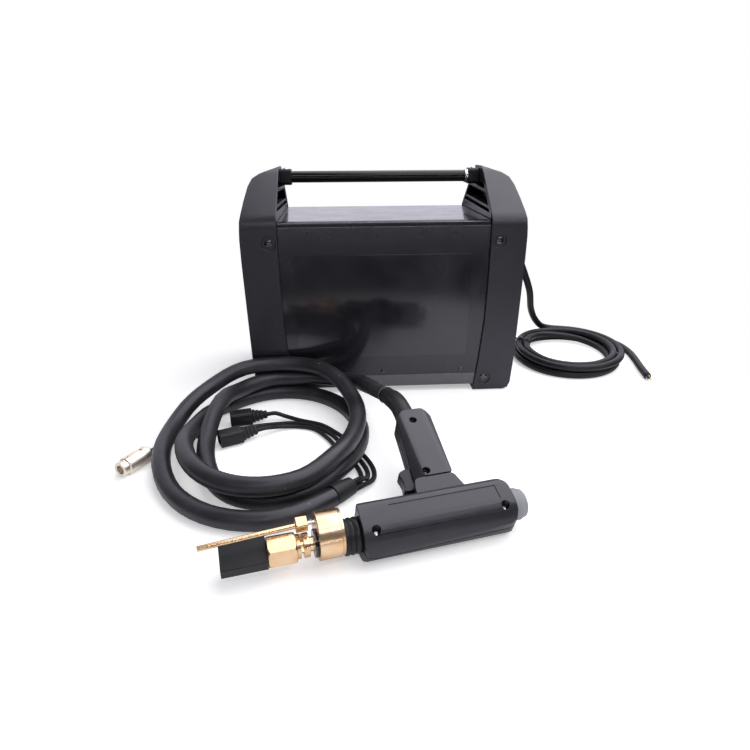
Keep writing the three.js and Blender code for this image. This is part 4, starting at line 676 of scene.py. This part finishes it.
def sky_strength(tree):
    """White to the camera; in mirrors and glass white behind the object and dim in front."""
    rays = tree_node(tree, "ShaderNodeLightPath").outputs
    way = tree_node(tree, "ShaderNodeTexCoord").outputs["Generated"]
    ahead = tree_node(tree, "ShaderNodeSeparateXYZ", {"Vector": way}).outputs["Y"]
    behind = spread(tree, ahead, 0.15, 0.75, 0.16, 1.0, interpolation_type="SMOOTHSTEP")
    mirrored = worked_out(tree, "MAXIMUM", rays["Is Glossy Ray"], rays["Is Transmission Ray"])
    in_mirror = tree_node(tree, "ShaderNodeMix", {"A": 0.20, "Factor": mirrored, "B": behind})
    feed(tree, tree.nodes["Background"], {
        "Strength": worked_out(tree, "MAXIMUM", rays["Is Camera Ray"], in_mirror.outputs["Result"]),
        "Color": between_colours(tree, rays["Is Camera Ray"], (0.90, 0.88, 1.0, 1), (1, 1, 1, 1)),
    })


world = bpy.data.worlds.new("studio")
world.use_nodes = True
bpy.context.scene.world = world
sky_strength(world.node_tree)


def soft_lamp(name, place, aim, size, power):
    """Rectangular soft lamp that faces its aim."""
    data = bpy.data.lights.new(name, "AREA")
    data.shape = "RECTANGLE"
    data.size, data.size_y = size
    data.energy = power
    way = Vector(aim) - Vector(place)
    facing = way.to_track_quat("-Z", "Y").to_matrix().to_4x4()
    scene_object(name, data).matrix_world = Matrix.Translation(place) @ facing


for name, place, aim, size, power in (
    ("overhead", (0.75, 0.25, 1.7), (0.1, 0.0, 0.0), (2.6, 2.2), 46.0),
    ("strip", (0.35, -1.15, 1.2), (0.0, -0.2, 0.05), (1.9, 0.10), 6.0),
    ("front_fill", (-0.9, -1.5, 1.3), (0.0, 0.0, 0.1), (1.0, 0.8), 1.2),
    ("low_line", (0.1, -2.3, 0.05), (0.1, 0.0, 0.25), (2.6, 0.05), 4.5),
):
    soft_lamp(name, place, aim, size, power)
bpy.context.scene.view_settings.view_transform = "Standard"

# End caps with their ears
# One moulding of grained black plastic serves both ends. Its ears carry the handle and its
# pocketed inner faces show above the cover. Four screws hold each cap to the case.
CAP_EDGE = 0.0013
cap_plastic = skin_material(
    "cap_plastic", (0.0060, 0.0062, 0.0078), (0.0095, 0.0097, 0.0115), 1500.0, (0.34, 0.46), 0.30, level=0.7)
rounded_copy("mains_end_cap", "rear_cap", cap_plastic, edge=CAP_EDGE, steps=3)
rounded_copy("control_end_cap", "front_cap", cap_plastic, edge=CAP_EDGE, steps=3)

# Cover, floor pan and the bare plate
# Powder-coated sheet: the cover is bent over the top, the pan closes the bottom. A thin blank
# film lies on the viewed side.
PLATE_LEFT = -0.144
PLATE_RIGHT = 0.139
PLATE_LOW = 0.065
PLATE_HIGH = 0.236
PLATE_CORNER = 0.003
PLATE_CORNER_STEPS = 8
PLATE_THICKNESS = 0.0003
SHEET_FACE = 0.0043
cover_paint = skin_material("cover_paint", (0.0070, 0.0072, 0.0095), (0.0095, 0.0098, 0.0125),
                            1800.0, (0.20, 0.30), 0.08, coat=0.6, level=0.45)
base_paint = skin_material("base_paint", (0.022, 0.022, 0.025), (0.030, 0.030, 0.034),
                           1800.0, (0.26, 0.36), 0.10, coat=1.0, level=1.0)
plate_film = skin_material("plate_film", (0.0068, 0.0070, 0.0092), (0.0095, 0.0098, 0.0125),
                           260.0, (0.16, 0.28), 0.04, coat=0.8, level=0.45)
rounded_copy("cover_sheet", "case_cover", cover_paint, edge=0.0003)
rounded_copy("floor_pan", "base_pan", base_paint, edge=0.0004)


def blank_plate():
    """Thin film with round corners, lying on the viewed side's sheet."""
    middle = Vector(((PLATE_LEFT + PLATE_RIGHT) / 2, (PLATE_LOW + PLATE_HIGH) / 2))
    outline = []
    for x, z, start in ((PLATE_RIGHT - PLATE_CORNER, PLATE_HIGH - PLATE_CORNER, 0),
                        (PLATE_LEFT + PLATE_CORNER, PLATE_HIGH - PLATE_CORNER, 1),
                        (PLATE_LEFT + PLATE_CORNER, PLATE_LOW + PLATE_CORNER, 2),
                        (PLATE_RIGHT - PLATE_CORNER, PLATE_LOW + PLATE_CORNER, 3)):
        for i in range(PLATE_CORNER_STEPS + 1):
            turn = (start + i / PLATE_CORNER_STEPS) * math.pi / 2
            outline.append((x + PLATE_CORNER * math.cos(turn), z + PLATE_CORNER * math.sin(turn)))
    shape = bmesh.new()
    join_rings(shape, [
        [
            shape.verts.new(unit_origin + Vector((
                x - math.copysign(inset, x - middle.x), SHEET_FACE - depth,
                z - math.copysign(inset, z - middle.y))))
            for x, z in outline
        ]
        for depth, inset in ((0, 0), (PLATE_THICKNESS * 0.6, 0), (PLATE_THICKNESS, PLATE_THICKNESS * 0.5))
    ])
    piece = scene_object("blank_plate", mesh_of(shape, "blank_plate", plate_film))
    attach(piece, "root")


blank_plate()

# Carrying handle
# A painted steel tube between the ears, held in square moulded collars with a bolt each. A
# bright steel ferrule shows where the tube enters the collar at the mains end.
HANDLE_AXIS = (0.120, 0.347)
HANDLE_HALF = 0.149
FERRULE_RADIUS = 0.0108
FERRULE_LENGTH = 0.0055
FERRULE_EDGE = 0.0006
handle_paint = skin_material("handle_paint", (0.004, 0.004, 0.005), (0.006, 0.006, 0.007),
                             1600.0, (0.10, 0.16), 0.02, coat=0.5, level=0.1)
collar_plastic = skin_material(
    "collar_plastic", (0.008, 0.008, 0.009), (0.014, 0.014, 0.015), 1500.0, (0.34, 0.46), 0.25)
bright_steel = metal_material(
    "bright_steel", (0.78, 0.78, 0.80), (0.55, 0.55, 0.58), 900.0, (1, 1, 1), (0.16, 0.3), 0.15)
rounded_copy("carrying_bar", "handle_bar", handle_paint, edge=0.0004)
rounded_copy("bar_collar_mains", "handle_collar_rear", collar_plastic, edge=0.0007)
rounded_copy("bar_collar_control", "handle_collar_front", collar_plastic, edge=0.0007)
turned_part("bar_ferrule", [
    (-FERRULE_LENGTH, FERRULE_RADIUS - FERRULE_EDGE), (-FERRULE_LENGTH + FERRULE_EDGE, FERRULE_RADIUS),
    (-FERRULE_EDGE, FERRULE_RADIUS), (0, FERRULE_RADIUS - FERRULE_EDGE),
], unit_origin + Vector((HANDLE_HALF, *HANDLE_AXIS)), (1, 0, 0), bright_steel)

# Screws of the case and of the gun
# Button-head screws with hexagon sockets: black ones through the caps and along the cover's
# seam, bright ones in the wells of the gun's housing and black ones in the grip.
CAP_SCREW_SEAT = 0.0017
CAP_SCREW_PLACES = [(0.181, 0.256), (-0.181, 0.256), (0.171, 0.023), (-0.171, 0.023)]
COVER_SCREW_HEIGHT = 0.038
COVER_SCREW_PLACES = [-0.137, -0.003, 0.131]
COLLAR_BOLT_SIDE = HANDLE_HALF + 0.009
COLLAR_BOLT_LIFT = 0.0125
GUN_SCREW_PLACES = [(-0.0735, -0.012, 0.015), (0.0705, -0.012, 0.015)]
GRIP_SCREW_PLACES = [(0.014, 0.129, 0.011), (0.004, 0.053, 0.011)]
GUN_HEADING = math.radians(13.4)
GUN_TILT = math.radians(21.0)
SCREW_HEADS = {
    "cap_screws": {"radius": 0.0062, "height": 0.0021, "socket": 0.0027, "shank": 0.014},
    "cover_screws": {"radius": 0.0040, "height": 0.0017, "socket": 0.0017, "shank": 0.006},
    "collar_bolts": {"radius": 0.0048, "height": 0.0024, "socket": 0.0020, "shank": 0.009},
    "housing_screws": {"radius": 0.0038, "height": 0.0026, "socket": 0.0017, "shank": 0.008},
    "grip_screws": {"radius": 0.0033, "height": 0.0022, "socket": 0.0015, "shank": 0.007},
}
SHANK_SHARE = 0.45
SCREW_SEED = 5
FURTHEST_TURN = 1.047
ring_joint = next(joint for joint in frame["joints"] if joint["name"] == "clamp_ring_turn")
gun_place = (Matrix.Translation(ring_joint["pos_m"]) @ Matrix.Rotation(GUN_HEADING, 4, "Z")
             @ Matrix.Rotation(GUN_TILT, 4, "X"))
dark_steel = metal_material(
    "dark_steel", (0.110, 0.110, 0.116), (0.060, 0.060, 0.064), 900.0, (1, 1, 1), (0.14, 0.24), 0.12)


def geometry_tree(name, sizes):
    """Geometry tree with a named input for each size, and one for the finish."""
    tree, given, result = named_tree(name, "GeometryNodeTree", {
        "Geometry": "Geometry", **{label: "Float" for label in sizes}, "Finish": "Material",
    }, {"Geometry": "Geometry"})
    tree.is_modifier = True
    return tree, given, result


def facing_turn(tree, **settings):
    """Rotation that aims a shape's length along its point's facing attribute."""
    facing = tree_node(tree, "GeometryNodeInputNamedAttribute", {"Name": "facing"},
                       data_type="FLOAT_VECTOR").outputs["Attribute"]
    return tree_node(tree, "FunctionNodeAlignRotationToVector", {"Vector": facing},
                     axis="Z", **settings).outputs["Rotation"]


def set_on_points(tree, given, result, shape, rotation):
    """End of a tree: the shape on every point, made real and in its finish."""
    placed = tree_node(tree, "GeometryNodeInstanceOnPoints", {
        "Points": given["Geometry"], "Instance": shape, "Rotation": rotation})
    real = tree_node(tree, "GeometryNodeRealizeInstances", {"Geometry": placed.outputs["Instances"]})
    finished = tree_node(tree, "GeometryNodeSetMaterial", {
        "Geometry": real.outputs["Geometry"], "Material": given["Finish"]})
    feed(tree, result, {"Geometry": finished.outputs["Geometry"]})


def moved_along(tree, shape, height):
    """The shape moved up or down its own axis."""
    way = tree_node(tree, "ShaderNodeCombineXYZ", {"Z": height}).outputs["Vector"]
    return tree_node(tree, "GeometryNodeTransform", {
        "Geometry": shape, "Translation": way}).outputs["Geometry"]


def button_screw_tree():
    """A button-head screw on every point, facing the point's facing attribute."""
    tree, given, result = geometry_tree("button_screws", [
        "Head Radius", "Head Flatness", "Head Height", "Socket Radius", "Shank Radius", "Shank Length"])
    dome = tree_node(tree, "GeometryNodeMeshUVSphere", {
        "Segments": 32, "Rings": 16, "Radius": given["Head Radius"]})
    flat = tree_node(tree, "ShaderNodeCombineXYZ", {"X": 1.0, "Y": 1.0, "Z": given["Head Flatness"]})
    head = tree_node(tree, "GeometryNodeTransform", {
        "Geometry": dome.outputs["Mesh"], "Scale": flat.outputs["Vector"]})
    socket = tree_node(tree, "GeometryNodeMeshCylinder", {
        "Vertices": 6, "Radius": given["Socket Radius"], "Depth": given["Head Height"]})
    bored = tree_node(tree, "GeometryNodeMeshBoolean", {
        "Mesh 1": head.outputs["Geometry"],
        "Mesh 2": moved_along(tree, socket.outputs["Mesh"], given["Head Height"]),
    }, operation="DIFFERENCE")
    shank = tree_node(tree, "GeometryNodeMeshCylinder", {
        "Vertices": 16, "Radius": given["Shank Radius"], "Depth": given["Shank Length"]})
    sunk = worked_out(tree, "MULTIPLY", given["Shank Length"], -0.5)
    screw = tree_node(tree, "GeometryNodeMeshBoolean", {"Mesh 2": bored.outputs["Mesh"]}, operation="UNION")
    feed(tree, screw, {"Mesh 2": moved_along(tree, shank.outputs["Mesh"], sunk)})
    chance = tree_node(tree, "FunctionNodeRandomValue", {2: 0.0, 3: FURTHEST_TURN, "Seed": SCREW_SEED},
                       data_type="FLOAT")
    own_turn = tree_node(tree, "FunctionNodeAxisAngleToRotation", {
        "Axis": (0, 0, 1), "Angle": chance.outputs[1]})
    turned = tree_node(tree, "FunctionNodeRotateRotation", {
        "Rotation": facing_turn(tree), "Rotate By": own_turn.outputs["Rotation"],
    }, rotation_space="LOCAL")
    set_on_points(tree, given, result, screw.outputs["Mesh"], turned.outputs["Rotation"])
    return tree


def grown_piece(name, seats, tree, settings):
    """Plain mesh that a tree makes on its seats, a list of (place, facing)."""
    seed_mesh = bpy.data.meshes.new(name + "_seats")
    seed_mesh.from_pydata([tuple(place) for place, facing in seats], [], [])
    attribute = seed_mesh.attributes.new("facing", "FLOAT_VECTOR", "POINT")
    for i, (place, facing) in enumerate(seats):
        attribute.data[i].vector = facing
    seed = scene_object(name + "_seats", seed_mesh)
    grow = seed.modifiers.new("grow", "NODES")
    grow.node_group = tree
    for item in tree.interface.items_tree:
        if item.in_out == "INPUT" and item.name in settings:
            grow[item.identifier] = settings[item.name]
    graph = bpy.context.evaluated_depsgraph_get()
    mesh = bpy.data.meshes.new_from_object(seed.evaluated_get(graph))
    bpy.data.objects.remove(seed)
    mesh.name = name
    mesh.shade_smooth()
    mesh.set_sharp_from_angle(angle=CREASE)
    piece = scene_object(name, mesh)
    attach(piece, "root")
    return piece


screw_tree = button_screw_tree()


def screw_piece(name, seats, finish):
    """All screws of one kind; the shank's radius follows the head's."""
    head = SCREW_HEADS[name]
    return grown_piece(name, seats, screw_tree, {
        "Head Radius": head["radius"], "Head Flatness": head["height"] / head["radius"],
        "Head Height": head["height"], "Socket Radius": head["socket"],
        "Shank Radius": head["radius"] * SHANK_SHARE, "Shank Length": head["shank"], "Finish": finish,
    })


def both_sides(places, seat):
    """Seats on the viewed side and the far one, each facing outwards."""
    seats = []
    for x, z in places:
        seats.append((unit_origin + Vector((x, seat, z)), (0, -1, 0)))
        seats.append((unit_origin + Vector((x, UNIT_WIDTH - seat, z)), (0, 1, 0)))
    return seats


def gun_seats(places):
    """Seats in the gun's housing, given along its own axes."""
    facing = gun_place.to_3x3() @ Vector((0, 0, 1))
    return [(gun_place @ Vector(place), facing) for place in places]


cap_screws = screw_piece("cap_screws", both_sides(CAP_SCREW_PLACES, CAP_SCREW_SEAT), dark_steel)
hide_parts("cap_screw_1", "cap_screw_2", "cap_screw_3", "cap_screw_4")
screw_piece("cover_screws", both_sides([(x, COVER_SCREW_HEIGHT) for x in COVER_SCREW_PLACES], SHEET_FACE),
            dark_steel)
screw_piece("collar_bolts", [
    (unit_origin + Vector((side, HANDLE_AXIS[0], HANDLE_AXIS[1] + COLLAR_BOLT_LIFT)), (0, 0, 1))
    for side in (-COLLAR_BOLT_SIDE, COLLAR_BOLT_SIDE)
], bright_steel)
screw_piece("housing_screws", gun_seats(GUN_SCREW_PLACES), bright_steel)
screw_piece("grip_screws", gun_seats(GRIP_SCREW_PLACES), dark_steel)

# Control end
# A black moulded panel behind the cap's window: two fluted knobs, a tinted read-out window, the
# mode button and the two output sockets. White marks round the knobs are printed.
KNOB_HEIGHT = 0.235
KNOB_SIDES = [0.090, 0.150]
SCALE_MARKS = 11
SCALE_SWEEP = math.radians(270)
SCALE_RADIUS = 0.0185
MARK_SIZES = {"Mark Length": 0.0032, "Mark Width": 0.0009, "Mark Depth": 0.0003}
MARK_LIFT = 0.0001
PANEL_FACE = -0.2097
panel_plastic = skin_material(
    "panel_plastic", (0.012, 0.012, 0.013), (0.020, 0.020, 0.021), 1400.0, (0.36, 0.48), 0.22)
knob_plastic = skin_material(
    "knob_plastic", (0.010, 0.010, 0.011), (0.020, 0.020, 0.021), 1200.0, (0.32, 0.44), 0.2)
display_tint = skin_material(
    "display_tint", (0.020, 0.004, 0.005), (0.026, 0.006, 0.006), 300.0, (0.05, 0.10), 0.02, coat=0.6)
button_plastic = skin_material(
    "button_plastic", (0.42, 0.055, 0.035), (0.50, 0.075, 0.05), 1000.0, (0.26, 0.36), 0.1)
socket_plastic = skin_material(
    "socket_plastic", (0.010, 0.010, 0.010), (0.018, 0.018, 0.018), 1100.0, (0.34, 0.46), 0.2)
mark_white = skin_material(
    "mark_white", (0.66, 0.66, 0.66), (0.58, 0.58, 0.57), 900.0, (0.4, 0.5), 0.05)
rounded_copy("control_panel", "front_panel", panel_plastic, edge=0.0003)
rounded_copy("current_dial", "current_knob", knob_plastic, "current_knob", edge=0.0003)
rounded_copy("time_dial", "time_knob", knob_plastic, "time_knob", edge=0.0003)
rounded_copy("readout_window", "display_lens", display_tint, edge=0.0004)
rounded_copy("mode_push", "mode_button", button_plastic, "mode_button", edge=0.0004)
rounded_copy("gun_output", "gun_socket", socket_plastic)
rounded_copy("earth_output", "earth_socket", socket_plastic)


def scale_mark_tree():
    """A short printed bar on every point, laid along the point's facing attribute."""
    tree, given, result = geometry_tree("scale_marks", ["Mark Length", "Mark Width", "Mark Depth"])
    size = tree_node(tree, "ShaderNodeCombineXYZ", {
        "X": given["Mark Depth"], "Y": given["Mark Width"], "Z": given["Mark Length"]})
    mark = tree_node(tree, "GeometryNodeMeshCube", {"Size": size.outputs["Vector"]})
    set_on_points(tree, given, result, mark.outputs["Mesh"], facing_turn(tree, pivot_axis="X"))
    return tree


def scale_seats():
    """Places of the marks round both knobs, each with the way out from the knob's axis."""
    seats = []
    for side in KNOB_SIDES:
        middle = unit_origin + Vector((PANEL_FACE - MARK_LIFT, side, KNOB_HEIGHT))
        for i in range(SCALE_MARKS):
            turn = (i / (SCALE_MARKS - 1) - 0.5) * SCALE_SWEEP
            way = Vector((0, -math.sin(turn), math.cos(turn)))
            seats.append((middle + way * SCALE_RADIUS, way))
    return seats


grown_piece("scale_marks", scale_seats(), scale_mark_tree(), {**MARK_SIZES, "Finish": mark_white})

# Rear end
# The panel behind the other cap's window carries the fan behind its slots, the mains rocker
# and the gland of the mains cord.
fan_plastic = skin_material(
    "fan_plastic", (0.009, 0.009, 0.009), (0.016, 0.016, 0.016), 900.0, (0.30, 0.42), 0.1)
rocker_plastic = skin_material(
    "rocker_plastic", (0.36, 0.018, 0.014), (0.44, 0.03, 0.022), 900.0, (0.18, 0.28), 0.05, coat=0.3)
rounded_copy("mains_panel", "rear_panel", panel_plastic, edge=0.0003)
rounded_copy("fan_housing", "fan_frame", fan_plastic, edge=0.0004)
rounded_copy("fan_wheel", "fan_rotor", fan_plastic, "fan_rotor", edge=0.0002)
rounded_copy("mains_rocker", "power_switch", rocker_plastic, "power_switch",
             edge=0.0006, steps=3)

# Inside of the case
# Laminated core with its copper winding, two discharge capacitors, the finned heat sink and
# the control board. The closed case hides them, and each keeps its solid with a finish.
core_steel = metal_material(
    "core_steel", (0.30, 0.30, 0.31), (0.20, 0.19, 0.18), 260.0, (1, 12, 1), (0.35, 0.55), 0.6)
winding_copper = metal_material(
    "winding_copper", (0.70, 0.34, 0.16), (0.48, 0.22, 0.10), 300.0, (14, 1, 1), (0.25, 0.4), 0.6)
raw_aluminium = metal_material(
    "raw_aluminium", (0.72, 0.73, 0.74), (0.55, 0.56, 0.58), 500.0, (1, 1, 8), (0.25, 0.4), 0.25)
capacitor_sleeve = skin_material(
    "capacitor_sleeve", (0.020, 0.045, 0.12), (0.028, 0.058, 0.15), 700.0, (0.22, 0.32), 0.05, coat=0.3)
board_green = skin_material(
    "board_green", (0.012, 0.085, 0.028), (0.020, 0.12, 0.040), 1600.0, (0.22, 0.34), 0.1, coat=0.3)
switch_black = skin_material(
    "switch_black", (0.010, 0.010, 0.010), (0.018, 0.018, 0.018), 1000.0, (0.35, 0.45), 0.1)
for node, finish in (
    ("transformer_core", core_steel), ("transformer_winding", winding_copper),
    ("capacitor_1", capacitor_sleeve), ("capacitor_2", capacitor_sleeve),
    ("heat_sink", raw_aluminium), ("control_board", board_green), ("trigger_switch", switch_black),
):
    for place in frame["nodes"][node].material_slots:
        place.material = finish

# Pull gun: housing, grip and rear cap
# Two moulded shells of fine-grained black nylon make the barrel housing and two more the grip.
# The rear cap is a light grey moulding, and the neck a ringed rubber insulator.
gun_plastic = skin_material("gun_plastic", (0.017, 0.017, 0.020), (0.024, 0.024, 0.028),
                            1500.0, (0.28, 0.40), 0.42, dust=0.1, coat=0.1, level=0.5)
grey_cap = skin_material(
    "grey_cap", (0.27, 0.27, 0.30), (0.33, 0.33, 0.36), 1300.0, (0.42, 0.54), 0.2)
neck_rubber = skin_material(
    "neck_rubber", (0.010, 0.010, 0.011), (0.020, 0.020, 0.022), 900.0, (0.28, 0.4), 0.15)
trigger_plastic = skin_material(
    "trigger_plastic", (0.016, 0.016, 0.018), (0.026, 0.026, 0.028), 1300.0, (0.30, 0.42), 0.25)
for name, node in (("housing_near", "gun_body_near"), ("housing_far", "gun_body_far"),
                   ("grip_shell_near", "grip_near"), ("grip_shell_far", "grip_far")):
    rounded_copy(name, node, gun_plastic, edge=0.0007, steps=5, wide=0.003)
rounded_copy("rear_cover_cap", "gun_rear_cap", grey_cap, edge=0.0009, steps=3)
rounded_copy("ringed_neck", "gun_neck", neck_rubber, edge=0.0003)
rounded_copy("trigger_blade", "trigger", trigger_plastic, "trigger",
             edge=0.0008, steps=3)

# Brass nose
# Turned and milled brass: the clamp ring turns on the nose, the slotted collet takes the tip,
# and its hexagon nut closes it. A sprung block on a steel pin carries the earth rod.
brass = metal_material(
    "brass", (0.84, 0.61, 0.39), (0.74, 0.46, 0.25), 1500.0, (1, 1, 1), (0.22, 0.28), 0.008)
pin_steel = metal_material(
    "pin_steel", (0.72, 0.70, 0.68), (0.5, 0.46, 0.42), 700.0, (1, 1, 1), (0.18, 0.3), 0.1)
rounded_copy("brass_ring", "clamp_ring", brass, "clamp_ring", edge=0.0006)
rounded_copy("snap_ring", "ring_retainer", dark_steel, edge=0.0003)
rounded_copy("brass_spindle", "spindle", brass, edge=0.0003)
rounded_copy("brass_nut", "collet_nut", brass, "collet_nut", edge=0.0004)
rounded_copy("rod_block", "rod_clamp", brass, "rod_clamp", edge=0.0009, steps=3)
rounded_copy("block_pin", "guide_pin", pin_steel, "rod_clamp", edge=0.0002)
rounded_copy("brass_rod", "earth_rod", brass, "rod_clamp", edge=0.0004)

# Tip block
# A square sleeve of dense black plastic slides over the spindle's flat end.
tip_plastic = skin_material(
    "tip_plastic", (0.014, 0.014, 0.015), (0.022, 0.022, 0.023), 900.0, (0.36, 0.5), 0.3, dust=0.15)
rounded_copy("tip_sleeve", "tip_block", tip_plastic, "tip_block", edge=0.0006, steps=3)
